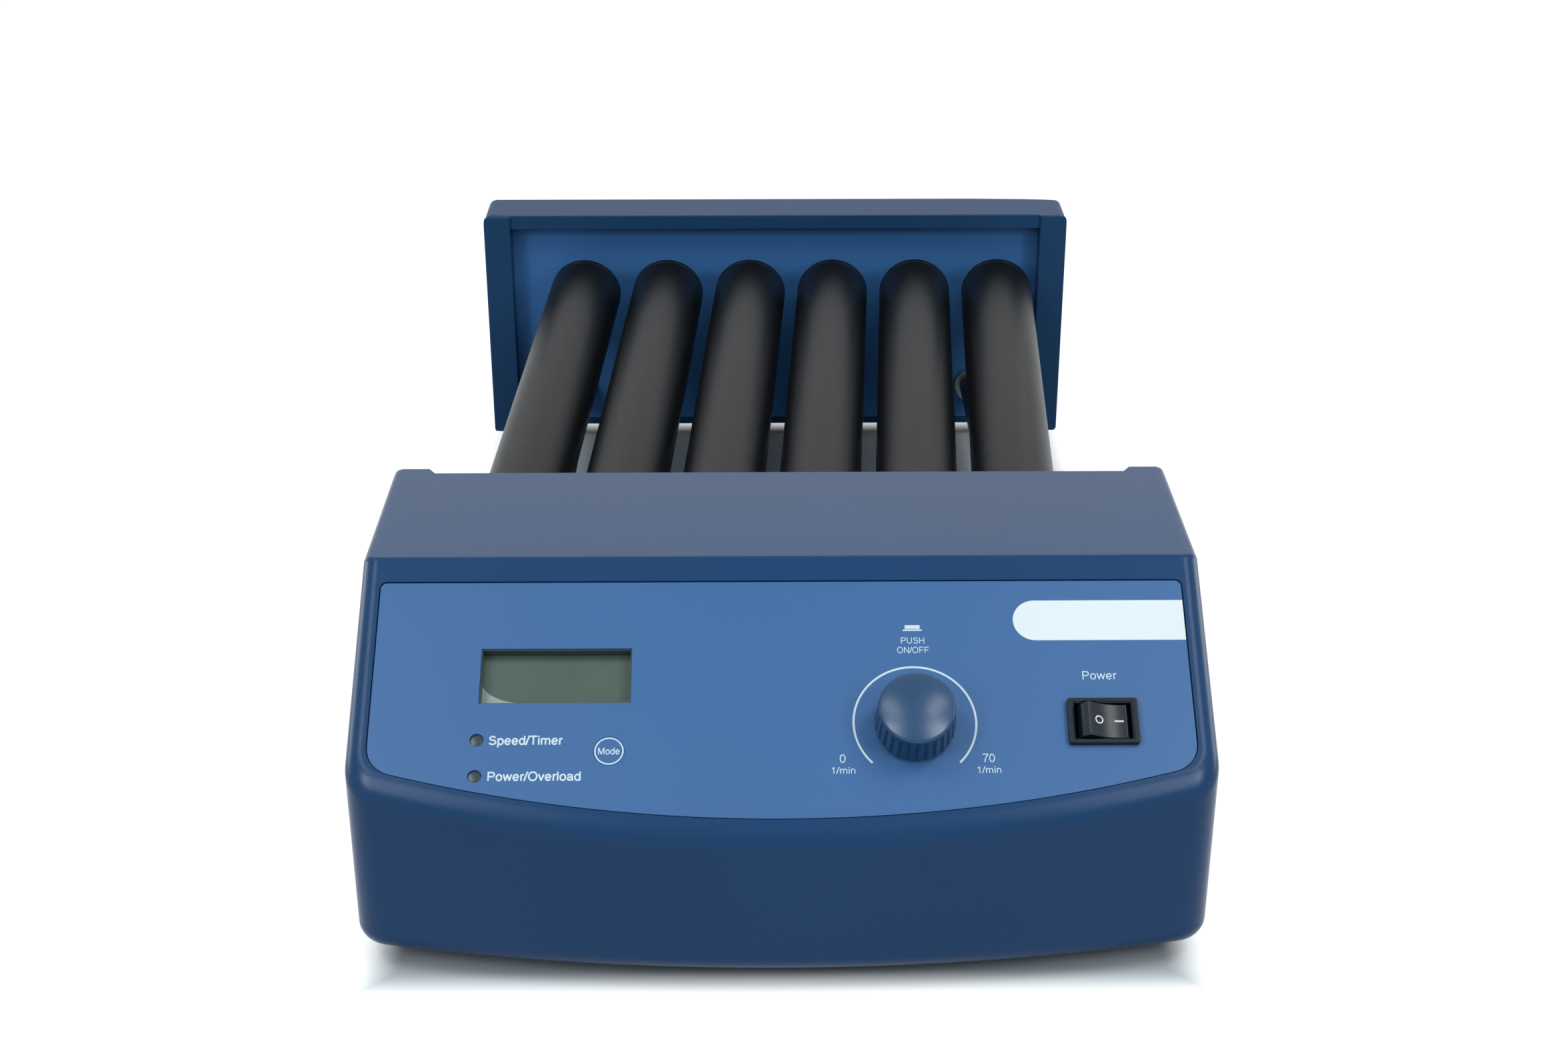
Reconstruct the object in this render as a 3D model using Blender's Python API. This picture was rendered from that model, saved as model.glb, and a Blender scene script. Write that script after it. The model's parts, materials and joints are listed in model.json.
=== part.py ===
"""Bench roller mixer: six rocking rollers between a front control housing and a rear bearing housing.

X runs to the right seen from the controls, Y to the rear, Z up. The origin lies on the bench,
under the middle of the mixer. Lengths are in metres.
"""

import math

import bmesh
import bpy
from mathutils import Matrix, Vector

MM = 0.001
DEGREE = math.pi / 180

# Both housings
WIDTH = 268 * MM
HEIGHT = 113.5 * MM
FOOT_HEIGHT = 6.6 * MM
WALL = 3 * MM
GAP = 0.3 * MM
OVERRUN = 1 * MM
PILLAR_WIDTH = 12 * MM
PILLAR_DEPTH = 10 * MM
LIP_HEIGHT = 6.3 * MM
LIP_SETBACK = 3.4 * MM
LIP_CHAMFER = 2 * MM
TOP_FILLET = 4 * MM
RIM_FILLET = 1.8 * MM
FILLET_STEPS = 4

# Front housing
FRONT_DEPTH = 149.5 * MM
TOP_DEPTH = 72 * MM
CONTROL_ANGLE = 35.6 * DEGREE
FRONT_DRAFT = 0.8 * DEGREE
BOW_RADIUS = 600 * MM
CORNER_RADIUS = 11 * MM
FACE_FILLET = 5.8 * MM
SOLE_FILLET = 6.8 * MM
LEDGE_WIDTH = 10 * MM
LEDGE_HEIGHT = 8 * MM
BOW_STEPS = 14
CORNER_STEPS = 5

# Rear housing and the open bed between the two
RIM_GAP = 284 * MM
REAR_DEPTH = 28.5 * MM
REAR_FILLET = 2 * MM

# Rollers: a rubber sleeve on a core, whose stub shafts sit off centre on opposite sides at its two ends
ROLLER_COUNT = 6
ROLLER_MARGIN = 39 * MM
ROLLER_SPACE = 5.8 * MM
STUB_EDGE = 3.9 * MM
ROLLER_PHASE = 53 * DEGREE
ROLLER_END_GAP = 1.1 * MM
ROLLER_EDGE = 0.8 * MM
SPARE_BELOW_SHARE = 11 / 35
SLEEVE_THICKNESS = 2.5 * MM
SLEEVE_FIT = 0.2 * MM
CAP_THICKNESS = 3 * MM
STUB_RADIUS = 3 * MM
ROLLER_SEGMENTS = 24

# Bearing stack behind each rim
PANEL_THICKNESS = 3 * MM
BAR_THICKNESS = 8 * MM
BAR_MARGIN = 11 * MM
BAR_RISE = 13 * MM
BAR_FALL = 10 * MM
BARREL_WALL = 3.4 * MM
BARREL_PROUD = 1.5 * MM
BARREL_SEGMENTS = 16
STUB_REAR_SHORT = 1 * MM

# Tie rods
ROD_MARGIN = 40 * MM
ROD_RISE = 16.8 * MM
ROD_RADIUS = 6 * MM
SPIGOT_RADIUS = 4 * MM
WASHER_RADIUS = 8.5 * MM
WASHER_THICKNESS = 1.8 * MM
ROD_SEGMENTS = 16

# Gear train
ROLLER_TEETH = 22
IDLER_TEETH = 16
PINION_TEETH = 12
GEAR_WIDTH = 7 * MM
GEAR_SPACE = 1.5 * MM
GEAR_FIT = 0.2 * MM
ADDENDUM_SHARE = 1.0
DEDENDUM_SHARE = 1.25
TOOTH_TIP_SHARE = 0.24
TOOTH_ROOT_SHARE = 0.62
BORE_SEGMENTS = 12
STUB_OVERHANG = 2.4 * MM
PLATE_SPACE = 2 * MM
PLATE_THICKNESS = 3 * MM
PLATE_FOOT = 16 * MM
IDLER_PIN_RADIUS = 2.5 * MM
IDLER_SHOULDER = 4 * MM
IDLER_BORE_GAP = 0.3 * MM

# Gear motor
MOTOR_HEAD_RADIUS = 18.5 * MM
MOTOR_HEAD_LENGTH = 22 * MM
MOTOR_CAN_RADIUS = 17.5 * MM
MOTOR_CAN_LENGTH = 26 * MM
MOTOR_EDGE = 1 * MM
MOTOR_BORE_DEPTH = 10 * MM
MOTOR_HOLE_RADIUS = 6.5 * MM
MOTOR_SEGMENTS = 24

# Control overlay, laid in a recess of the sloping face
OVERLAY_SIDE = 7.1 * MM
OVERLAY_TOP = 8.9 * MM
OVERLAY_EDGE = 6.8 * MM
OVERLAY_THICKNESS = 0.6 * MM
OVERLAY_SINK = 0.3 * MM
OVERLAY_OUTLINE = 0.4 * MM
OVERLAY_CORNER = 9.5 * MM
OVERLAY_TOP_CORNER = 2 * MM
OVERLAY_STEPS = 14

# Display, lamps and button: places are from the left side and down the slope from its top edge
DISPLAY_SIDE = 63.75 * MM
DISPLAY_DOWN = 41.5 * MM
DISPLAY_WIDTH = 47 * MM
DISPLAY_HEIGHT = 18.7 * MM
DISPLAY_LAP = 1.6 * MM
DISPLAY_GLASS = 1.5 * MM
DISPLAY_FRAME_LAP = 4.5 * MM
LAMP_SIDE = 40.4 * MM
SPEED_LAMP_DOWN = 63.2 * MM
POWER_LAMP_DOWN = 75.2 * MM
LAMP_RADIUS = 1.85 * MM
LAMP_RIM = 0.5 * MM
LAMP_RIM_HEIGHT = 1 * MM
LAMP_SINK = 0.9 * MM
MODE_SIDE = 81 * MM
MODE_DOWN = 67 * MM
MODE_RADIUS = 4.5 * MM
MODE_FLANGE = 1.4 * MM
MODE_FLANGE_HEIGHT = 0.8 * MM
MODE_STEM_RADIUS = 1.5 * MM
MODE_TRAVEL = 0.5 * MM
SWITCH_HEIGHT = 3.5 * MM
SWITCH_SIDE = 6 * MM
SWITCH_CLEAR = 0.1 * MM

# Control board on four bosses
BOSS_LENGTH = 9 * MM
BOSS_RADIUS = 3 * MM
BOARD_THICKNESS = 1.6 * MM
BOARD_SIDE = 22 * MM
BOARD_ROCKER_SPACE = 32.6 * MM
BOARD_START = 28 * MM
BOARD_END = 80 * MM
BOSS_MARGIN = 6 * MM
CHIP_SIZE = 12 * MM
CHIP_HEIGHT = 2.4 * MM
CHIP_DOWN = 66 * MM
PLUG_BLOCK_WIDTH = 22 * MM
PLUG_BLOCK_DEPTH = 8 * MM
PLUG_BLOCK_HEIGHT = 7 * MM

# Speed encoder, its shaft and plunger, and the knob
KNOB_ROCKER_SPACE = 57.9 * MM
KNOB_DOWN = 58.8 * MM
ENCODER_SIDE = 13 * MM
BUSH_RADIUS = 4.5 * MM
BUSH_PROUD = 3 * MM
SHAFT_RADIUS = 3 * MM
SHAFT_SINK = 9.3 * MM
PLUNGER_LENGTH = 1.2 * MM
KNOB_TRAVEL = 1 * MM
KNOB_RADIUS = 12.5 * MM
KNOB_TOP_RADIUS = 11.9 * MM
KNOB_FACE_RADIUS = 10.3 * MM
KNOB_FLUTE = 0.6 * MM
KNOB_FLUTES = 28
KNOB_LAND_SHARE = 0.56
KNOB_LIFT = 1 * MM
KNOB_HEIGHT = 13.8 * MM
KNOB_SHOULDER = 1.6 * MM
KNOB_WALL = 2.5 * MM
KNOB_ROOF = 5.2 * MM
KNOB_HUB_WALL = 2.1 * MM
KNOB_FIT = 0.15 * MM
SHAFT_ROOF = 2.6 * MM
KNOB_SEGMENTS = 24

# Rocker switch
ROCKER_SIDE = 35.4 * MM
ROCKER_DOWN = 58.2 * MM
BEZEL_WIDTH = 21.8 * MM
BEZEL_HEIGHT = 15.2 * MM
BEZEL_THICKNESS = 1.8 * MM
BEZEL_EDGE = 0.4 * MM
ROCKER_BODY_DEPTH = 12 * MM
ROCKER_WALL = 0.7 * MM
ROCKER_FLOOR = 1.5 * MM
PADDLE_RADIUS = 8.5 * MM
PADDLE_HALF_WIDTH = 5.6 * MM
PADDLE_CLEAR = 0.25 * MM
PADDLE_PIVOT_DEPTH = 3.5 * MM
PADDLE_TIP_ANGLE = 44 * DEGREE
PADDLE_ROOT_ANGLE = -8 * DEGREE
PADDLE_SWING = 14 * DEGREE
PADDLE_DISH = 1.9 * MM
PADDLE_KEEL_HALF = 3 * MM
PADDLE_KEEL_DEPTH = 4 * MM
PADDLE_STEPS = 5
PADDLE_TOP_STEPS = 8
TRUNNION_RADIUS = 1.2 * MM
TRUNNION_LENGTH = 0.6 * MM

# Mains inlet, low on the right side wall of the front housing
INLET_SETBACK = 45 * MM
INLET_RISE = 26 * MM
INLET_WIDTH = 27 * MM
INLET_HEIGHT = 19.5 * MM
INLET_DEPTH = 23 * MM
SOCKET_WIDTH = 24.5 * MM
SOCKET_HEIGHT = 16.5 * MM
SOCKET_CHAMFER = 4 * MM
SOCKET_DEPTH = 17 * MM
INLET_FLANGE_WIDTH = 40 * MM
INLET_FLANGE_HEIGHT = 24 * MM
INLET_FLANGE = 2.5 * MM
INLET_FLOOR = 2 * MM
CONTACT_THICKNESS = 2 * MM
CONTACT_HEIGHT = 4 * MM
CONTACT_LENGTH = 12 * MM
CONTACT_SPREAD = 7 * MM
CONTACT_OFFSET = 2 * MM

# Power supply board on the front base
SUPPLY_SIDE = 60 * MM
SUPPLY_SETBACK = 92 * MM
SUPPLY_WIDTH = 84 * MM
SUPPLY_DEPTH = 46 * MM
COIL_WIDTH = 26 * MM
COIL_DEPTH = 22 * MM
COIL_HEIGHT = 21 * MM
COIL_OFFSET_SHARE = 0.22
CAPACITOR_RADIUS = 8 * MM
CAPACITOR_HEIGHT = 24 * MM
CAPACITOR_SEGMENTS = 16

# Bases and feet
BASE_THICKNESS = 3 * MM
FOOT_RADIUS = 7 * MM
FOOT_TAPER = 0.6 * MM
FOOT_PEG_RADIUS = 2.5 * MM
FOOT_PEG_SHORT = 0.4 * MM
FOOT_INSET_X = 24 * MM
FOOT_INSET_FRONT = 30 * MM
FOOT_SEGMENTS = 16

# Places along Y
TOTAL_DEPTH = FRONT_DEPTH + RIM_GAP + REAR_DEPTH
Y_FRONT = -TOTAL_DEPTH / 2
Y_RIM = Y_FRONT + FRONT_DEPTH
Y_KINK = Y_RIM - TOP_DEPTH
Y_REAR_RIM = Y_RIM + RIM_GAP
Y_BACK = Y_REAR_RIM + REAR_DEPTH
Y_MIDDLE = (Y_RIM + Y_REAR_RIM) / 2

# Distances into a housing from its rim, the same for both
PANEL_FACE = PILLAR_DEPTH + GAP
PANEL_BACK = PANEL_FACE + PANEL_THICKNESS
BAR_FACE = PANEL_BACK + GAP
BAR_BACK = BAR_FACE + BAR_THICKNESS
GEAR_FACE = BAR_BACK + GEAR_SPACE
GEAR_BACK = GEAR_FACE + GEAR_WIDTH
STUB_END = GEAR_BACK + STUB_OVERHANG
PLATE_FACE = STUB_END + PLATE_SPACE
PLATE_BACK = PLATE_FACE + PLATE_THICKNESS
MOTOR_FACE = PLATE_BACK + GAP

# Places across the mixer, measured from its sides
LEFT_SIDE = -WIDTH / 2
RIGHT_SIDE = WIDTH / 2
DISPLAY_X = LEFT_SIDE + DISPLAY_SIDE
LAMP_X = LEFT_SIDE + LAMP_SIDE
MODE_X = LEFT_SIDE + MODE_SIDE
ROCKER_X = RIGHT_SIDE - ROCKER_SIDE
KNOB_X = ROCKER_X - KNOB_ROCKER_SPACE
BOARD_LEFT = LEFT_SIDE + BOARD_SIDE
BOARD_RIGHT = ROCKER_X - BOARD_ROCKER_SPACE
SUPPLY_X = LEFT_SIDE + SUPPLY_SIDE
ROD_X = RIGHT_SIDE - ROD_MARGIN

# Rollers: pitch from the width, radius from the pitch, throw from the radius
ROLLER_PITCH = (WIDTH - 2 * ROLLER_MARGIN) / (ROLLER_COUNT - 1)
ROLLER_RADIUS = (ROLLER_PITCH - ROLLER_SPACE) / 2
ROLLER_THROW = ROLLER_RADIUS - STUB_EDGE
ROLLER_SWEEP = ROLLER_RADIUS + ROLLER_THROW

# Heights: the rollers' axis shares out the height that their sweep leaves over the tie rods
Z_EDGE = HEIGHT - (Y_KINK - Y_FRONT) * math.tan(CONTROL_ANGLE)
Z_BASE_TOP = FOOT_HEIGHT + BASE_THICKNESS
Z_CEILING = HEIGHT - WALL
Z_ROD = Z_BASE_TOP + ROD_RISE
Z_SWEEP_LOW = Z_ROD + ROD_RADIUS
SPARE_HEIGHT = HEIGHT - Z_SWEEP_LOW - 2 * ROLLER_SWEEP
Z_AXIS = Z_SWEEP_LOW + ROLLER_SWEEP + SPARE_HEIGHT * SPARE_BELOW_SHARE

# Roller axes and gears
HALF_BED = RIM_GAP / 2 - ROLLER_END_GAP
HALF_ROLLER = math.hypot(HALF_BED - ROLLER_RADIUS * ROLLER_THROW / HALF_BED, ROLLER_THROW)
ROLLER_TILT = math.asin(ROLLER_THROW / HALF_ROLLER)
ROLLER_SPAN = (ROLLER_COUNT - 1) * ROLLER_PITCH
ROLLER_XS = [index * ROLLER_PITCH - ROLLER_SPAN / 2 for index in range(ROLLER_COUNT)]
IDLER_XS = [(left + right) / 2 for left, right in zip(ROLLER_XS, ROLLER_XS[1:])]
MODULE = ROLLER_PITCH / (ROLLER_TEETH + IDLER_TEETH)
PINION_X = IDLER_XS[len(IDLER_XS) // 2]
Z_PINION = Z_AXIS - MODULE * (IDLER_TEETH + PINION_TEETH) / 2
STUB_BORE = STUB_RADIUS + GAP
BARREL_RADIUS = STUB_BORE + BARREL_WALL

# Depths under the sloping face, measured square to it
UNDER_WALL = WALL + GAP
BOARD_TOP = WALL + BOSS_LENGTH + GAP
BOARD_BOTTOM = BOARD_TOP + BOARD_THICKNESS
OVERLAY_RECESS = OVERLAY_SINK + OVERLAY_THICKNESS + GAP
SLOPE_EDGE = (Y_KINK - Y_FRONT) / math.cos(CONTROL_ANGLE)

FACING_FRONT = Matrix.Rotation(math.pi / 2, 4, "X")
FACING_RIGHT = Matrix.Rotation(math.pi / 2, 4, "Z") @ FACING_FRONT
SLOPE = Matrix.Translation((0, Y_KINK, HEIGHT)) @ Matrix.Rotation(CONTROL_ANGLE, 4, "X")

SHADE_ANGLE = 32 * DEGREE
WELD = 0.001 * MM

# Finishes: colour, roughness, metallic
FINISHES = {
    "housing_blue": ((0.035, 0.085, 0.185), 0.42, 0.0),
    "panel_blue": ((0.040, 0.105, 0.225), 0.38, 0.0),
    "overlay_blue": ((0.085, 0.185, 0.390), 0.45, 0.0),
    "roller_rubber": ((0.022, 0.023, 0.025), 0.45, 0.0),
    "roller_core": ((0.030, 0.031, 0.033), 0.50, 0.0),
    "switch_black": ((0.010, 0.011, 0.012), 0.35, 0.0),
    "display_glass": ((0.120, 0.165, 0.130), 0.12, 0.0),
    "lamp_lens": ((0.060, 0.075, 0.080), 0.25, 0.0),
    "foot_rubber": ((0.015, 0.015, 0.016), 0.80, 0.0),
    "gear_nylon": ((0.620, 0.600, 0.540), 0.50, 0.0),
    "bearing_plastic": ((0.080, 0.080, 0.085), 0.45, 0.0),
    "steel": ((0.480, 0.490, 0.500), 0.32, 1.0),
    "rod_steel": ((0.060, 0.062, 0.066), 0.40, 1.0),
    "zinc_plate": ((0.520, 0.530, 0.540), 0.40, 1.0),
    "board_green": ((0.020, 0.130, 0.060), 0.50, 0.0),
    "contact_brass": ((0.620, 0.480, 0.220), 0.30, 1.0),
}


def circle(radius, segments, centre=(0, 0)):
    """Points round a circle."""
    turn = 2 * math.pi / segments
    return [
        (centre[0] + radius * math.cos(step * turn), centre[1] + radius * math.sin(step * turn))
        for step in range(segments)
    ]


def rectangle(left, right, low, high):
    """The four corners of a rectangle."""
    return [(left, low), (right, low), (right, high), (left, high)]


def arc(centre, radius, start, end, steps):
    """Points along an arc, both ends included."""
    points = []
    for step in range(steps + 1):
        angle = start + (end - start) * step / steps
        points.append((centre[0] + radius * math.cos(angle), centre[1] + radius * math.sin(angle)))
    return points


def bowed_outline(half_width, front, back, bow_radius, corner_radius, back_corner, steps):
    """A rectangle with a bowed front side, round front corners and, if asked, round back corners."""
    bow_centre = front + bow_radius
    corner_x = half_width - corner_radius
    corner_y = bow_centre - math.sqrt((bow_radius - corner_radius) ** 2 - corner_x ** 2)
    lean = math.atan2(corner_x, bow_centre - corner_y)
    right_corner = arc((corner_x, corner_y), corner_radius, lean - math.pi / 2, 0, CORNER_STEPS)
    bow = arc((0, bow_centre), bow_radius, -math.pi / 2 - lean, lean - math.pi / 2, steps)
    left_corner = [(-x, y) for x, y in reversed(right_corner)]
    points = left_corner[:-1] + bow + right_corner[1:]
    if back_corner > 0:
        turn_x = half_width - back_corner
        turn_y = back - back_corner
        back_right = arc((turn_x, turn_y), back_corner, 0, math.pi / 2, CORNER_STEPS)
        return points + back_right + [(-x, y) for x, y in reversed(back_right)]
    return points + [(half_width, back), (-half_width, back)]


def prism(outline, depth, holes=()):
    """A plate of the outline, less its holes, from Z = 0 up to its depth."""
    bm = bmesh.new()
    edges = []
    for loop in [outline, *holes]:
        corners = [bm.verts.new((x, y, 0)) for x, y in loop]
        for start, end in zip(corners, corners[1:] + corners[:1]):
            edges.append(bm.edges.new((start, end)))
    filled = bmesh.ops.triangle_fill(bm, edges=edges, use_beauty=True)
    faces = [item for item in filled["geom"] if isinstance(item, bmesh.types.BMFace)]
    raised = bmesh.ops.extrude_face_region(bm, geom=faces)
    top = [item for item in raised["geom"] if isinstance(item, bmesh.types.BMVert)]
    bmesh.ops.translate(bm, verts=top, vec=(0, 0, depth))
    bmesh.ops.recalc_face_normals(bm, faces=bm.faces)
    return bm


def lofted(loops):
    """A closed solid through loops of equally many points, each a list of (x, y, z)."""
    bm = bmesh.new()
    rings = [[bm.verts.new(point) for point in loop] for loop in loops]
    for lower, upper in zip(rings, rings[1:]):
        for index in range(len(lower)):
            after = (index + 1) % len(lower)
            bm.faces.new((lower[index], lower[after], upper[after], upper[index]))
    bm.faces.new(reversed(rings[0]))
    bm.faces.new(rings[-1])
    bmesh.ops.recalc_face_normals(bm, faces=bm.faces)
    return bm


def turned(profile, segments):
    """A solid turned about Z from (radius, height) points, which make a ring if they start off the axis."""
    bm = bmesh.new()
    rings = []
    for radius, height in profile:
        if radius == 0:
            rings.append([bm.verts.new((0, 0, height))])
        else:
            rings.append([bm.verts.new((x, y, height)) for x, y in circle(radius, segments)])
    pairs = list(zip(rings, rings[1:]))
    if profile[0][0] > 0:
        pairs.append((rings[-1], rings[0]))
    for lower, upper in pairs:
        for step in range(segments):
            after = (step + 1) % segments
            if len(lower) == 1:
                bm.faces.new((lower[0], upper[after], upper[step]))
            elif len(upper) == 1:
                bm.faces.new((lower[step], lower[after], upper[0]))
            else:
                bm.faces.new((lower[step], lower[after], upper[after], upper[step]))
    bmesh.ops.recalc_face_normals(bm, faces=bm.faces)
    return bm


def rod(radius, start, end, segments):
    """A plain cylinder about Z."""
    return turned([(0, start), (radius, start), (radius, end), (0, end)], segments)


def block(low, high):
    """A box between two corners."""
    bm = prism(rectangle(low[0], high[0], low[1], high[1]), high[2] - low[2])
    bmesh.ops.translate(bm, verts=bm.verts, vec=(0, 0, low[2]))
    return bm


def moved(bm, matrix):
    """The same solid, put through a matrix."""
    bmesh.ops.transform(bm, matrix=matrix, verts=bm.verts)
    return bm


def shifted(bm, x, y, z):
    """The same solid, moved."""
    return moved(bm, Matrix.Translation((x, y, z)))


def gathered(solids):
    """Solids that don't touch, held in one mesh so that they cut or join in one step."""
    whole = bmesh.new()
    for solid in solids:
        mesh = bpy.data.meshes.new("piece")
        solid.to_mesh(mesh)
        solid.free()
        whole.from_mesh(mesh)
        bpy.data.meshes.remove(mesh)
    return whole


def helper_object(solid):
    """A passing object that holds a solid while it cuts or joins another."""
    mesh = bpy.data.meshes.new("helper")
    solid.to_mesh(mesh)
    solid.free()
    helper = bpy.data.objects.new("helper", mesh)
    helper.hide_render = True
    helper.display_type = "WIRE"
    bpy.context.scene.collection.objects.link(helper)
    return helper


def combined(base, steps):
    """The solid left when each (operation, solid) step has been done to the base in turn."""
    body = helper_object(base)
    helpers = [body]
    for operation, solid in steps:
        helper = helper_object(solid)
        modifier = body.modifiers.new(operation, "BOOLEAN")
        modifier.operation = operation
        modifier.object = helper
        helpers.append(helper)
    depsgraph = bpy.context.evaluated_depsgraph_get()
    mesh = bpy.data.meshes.new_from_object(body.evaluated_get(depsgraph))
    for helper in helpers:
        bpy.data.objects.remove(helper, do_unlink=True)
    result = bmesh.new()
    result.from_mesh(mesh)
    bpy.data.meshes.remove(mesh)
    bmesh.ops.remove_doubles(result, verts=result.verts, dist=WELD)
    return result


def rounded(bm, radius_of, steps):
    """Rounds each edge by the radius that radius_of gives for it, which is 0 for the ones to leave."""
    layer = bm.edges.layers.float.new("bevel_weight_edge")
    radii = [(edge, radius_of(edge)) for edge in bm.edges]
    widest = max(radius for edge, radius in radii)
    for edge, radius in radii:
        edge[layer] = radius / widest
    body = helper_object(bm)
    modifier = body.modifiers.new("Bevel", "BEVEL")
    modifier.limit_method = "WEIGHT"
    modifier.width = widest
    modifier.segments = steps
    depsgraph = bpy.context.evaluated_depsgraph_get()
    mesh = bpy.data.meshes.new_from_object(body.evaluated_get(depsgraph))
    bpy.data.objects.remove(body, do_unlink=True)
    result = bmesh.new()
    result.from_mesh(mesh)
    bpy.data.meshes.remove(mesh)
    return result


def finish_material(name):
    """The material of a finish, made once."""
    material = bpy.data.materials.get(name)
    if material is None:
        colour, roughness, metallic = FINISHES[name]
        material = bpy.data.materials.new(name)
        material.use_nodes = True
        shader = material.node_tree.nodes["Principled BSDF"]
        shader.inputs["Base Color"].default_value = (*colour, 1)
        shader.inputs["Roughness"].default_value = roughness
        shader.inputs["Metallic"].default_value = metallic
    return material


def finished_mesh(name, bm, finish):
    """A smooth-shaded mesh with its finish."""
    mesh = bpy.data.meshes.new(name)
    bm.to_mesh(mesh)
    bm.free()
    mesh.materials.append(finish_material(finish))
    mesh.shade_smooth()
    mesh.set_sharp_from_angle(angle=SHADE_ANGLE)
    return mesh


def add_piece(name, mesh, matrix=Matrix.Identity(4)):
    """A named piece of the mixer, placed by a matrix."""
    piece = bpy.data.objects.new(name, mesh)
    bpy.context.scene.collection.objects.link(piece)
    piece.matrix_world = matrix
    return piece


def add_solid(name, bm, finish, matrix=Matrix.Identity(4)):
    """A named piece made straight from its solid."""
    return add_piece(name, finished_mesh(name, bm, finish), matrix)


def on_slope(x, down):
    """The frame of a control: X across, Y up the slope, Z square out of the sloping face."""
    return SLOPE @ Matrix.Translation((x, -down, 0))


def rim_place(rear, inward, x=0, z=0):
    """The frame of a piece at a distance inward from a rim: X across, Y up, Z to the front."""
    y = Y_REAR_RIM + inward if rear else Y_RIM - inward
    return Matrix.Translation((x, y, z)) @ FACING_FRONT


def front_y(z):
    """Where the middle of the bowed front wall stands at a height."""
    return Y_FRONT + (Z_EDGE - z) * math.tan(FRONT_DRAFT)


def front_base_outline(inset, back):
    """The front housing's plan at its foot, set in by a distance."""
    front = front_y(FOOT_HEIGHT) + inset
    corner = max(CORNER_RADIUS - inset, OVERRUN)
    return bowed_outline(WIDTH / 2 - inset, front, back, BOW_RADIUS - inset, corner, 0, BOW_STEPS)


def front_solid(inset, bottom, back):
    """The front housing's outer form, or the same form set in by a wall."""
    loops = []
    for z in (bottom, HEIGHT - inset):
        half_width = WIDTH / 2 - inset
        corner = CORNER_RADIUS - inset
        outline = bowed_outline(
            half_width, front_y(z) + inset, back, BOW_RADIUS - inset, corner, 0, BOW_STEPS
        )
        loops.append([(x, y, z) for x, y in outline])
    bm = lofted(loops)
    normal = SLOPE.to_3x3() @ Vector((0, 0, 1))
    point = SLOPE.translation - normal * inset
    everything = [*bm.verts, *bm.edges, *bm.faces]
    bmesh.ops.bisect_plane(bm, geom=everything, plane_co=point, plane_no=normal, clear_outer=True)
    open_edges = [edge for edge in bm.edges if edge.is_boundary]
    bmesh.ops.holes_fill(bm, edges=open_edges, sides=0)
    bmesh.ops.recalc_face_normals(bm, faces=bm.faces)
    return bm


def edge_lies(edge, axis, place):
    """Whether an edge lies at a place along an axis."""
    return all(abs(vert.co[axis] - place) < WELD for vert in edge.verts)


def front_edge_radius(edge):
    """How round each edge of the front housing is."""
    if edge.calc_face_angle() < SHADE_ANGLE:
        return 0
    if edge_lies(edge, 1, Y_RIM):
        return RIM_FILLET
    if edge_lies(edge, 2, FOOT_HEIGHT):
        return SOLE_FILLET
    if edge_lies(edge, 2, HEIGHT) and not edge_lies(edge, 1, Y_KINK):
        return TOP_FILLET
    return FACE_FILLET


def rear_edge_radius(edge):
    """How round each edge of the rear housing is."""
    if edge_lies(edge, 1, Y_REAR_RIM):
        return RIM_FILLET
    if edge_lies(edge, 2, HEIGHT) and not edge_lies(edge, 1, Y_BACK):
        return TOP_FILLET
    return REAR_FILLET


def rim_cutters(rim, inward):
    """What opens a housing at its rim: the opening between the pillars, and the lip's step back."""
    opening_half = WIDTH / 2 - PILLAR_WIDTH
    near = rim - inward * OVERRUN
    far = rim + inward * (PILLAR_DEPTH + OVERRUN)
    opening = block(
        (-opening_half, min(near, far), FOOT_HEIGHT - OVERRUN),
        (opening_half, max(near, far), HEIGHT - LIP_HEIGHT),
    )
    step = rim + inward * LIP_SETBACK
    wide = opening_half + GAP + LIP_CHAMFER * OVERRUN / LIP_SETBACK
    narrow = opening_half - LIP_CHAMFER
    corners = [(-wide, near), (wide, near), (narrow, step), (-narrow, step)]
    notch = prism(corners, LIP_HEIGHT + 2 * OVERRUN)
    shifted(notch, 0, 0, HEIGHT - LIP_HEIGHT - OVERRUN)
    return opening, notch


def display_outline(lap):
    """The display's window, grown by a lap all round, in the slope's frame."""
    half_width = DISPLAY_WIDTH / 2 + lap
    half_height = DISPLAY_HEIGHT / 2 + lap
    return rectangle(
        DISPLAY_X - half_width, DISPLAY_X + half_width,
        -DISPLAY_DOWN - half_height, -DISPLAY_DOWN + half_height,
    )


def rocker_half_sizes():
    """Half the width and height of the rocker switch's body."""
    return PADDLE_RADIUS + PADDLE_CLEAR + ROCKER_WALL, PADDLE_HALF_WIDTH + GAP + ROCKER_WALL


def control_holes():
    """The openings that the overlay and the wall under it share, in the slope's frame."""
    half_width, half_height = rocker_half_sizes()
    return [
        display_outline(0),
        circle(LAMP_RADIUS + GAP, BORE_SEGMENTS, (LAMP_X, -SPEED_LAMP_DOWN)),
        circle(LAMP_RADIUS + GAP, BORE_SEGMENTS, (LAMP_X, -POWER_LAMP_DOWN)),
        circle(MODE_RADIUS + GAP, BARREL_SEGMENTS, (MODE_X, -MODE_DOWN)),
        circle(BUSH_RADIUS + GAP, BARREL_SEGMENTS, (KNOB_X, -KNOB_DOWN)),
        rectangle(
            ROCKER_X - half_width - GAP, ROCKER_X + half_width + GAP,
            -ROCKER_DOWN - half_height - GAP, -ROCKER_DOWN + half_height + GAP,
        ),
    ]


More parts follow.
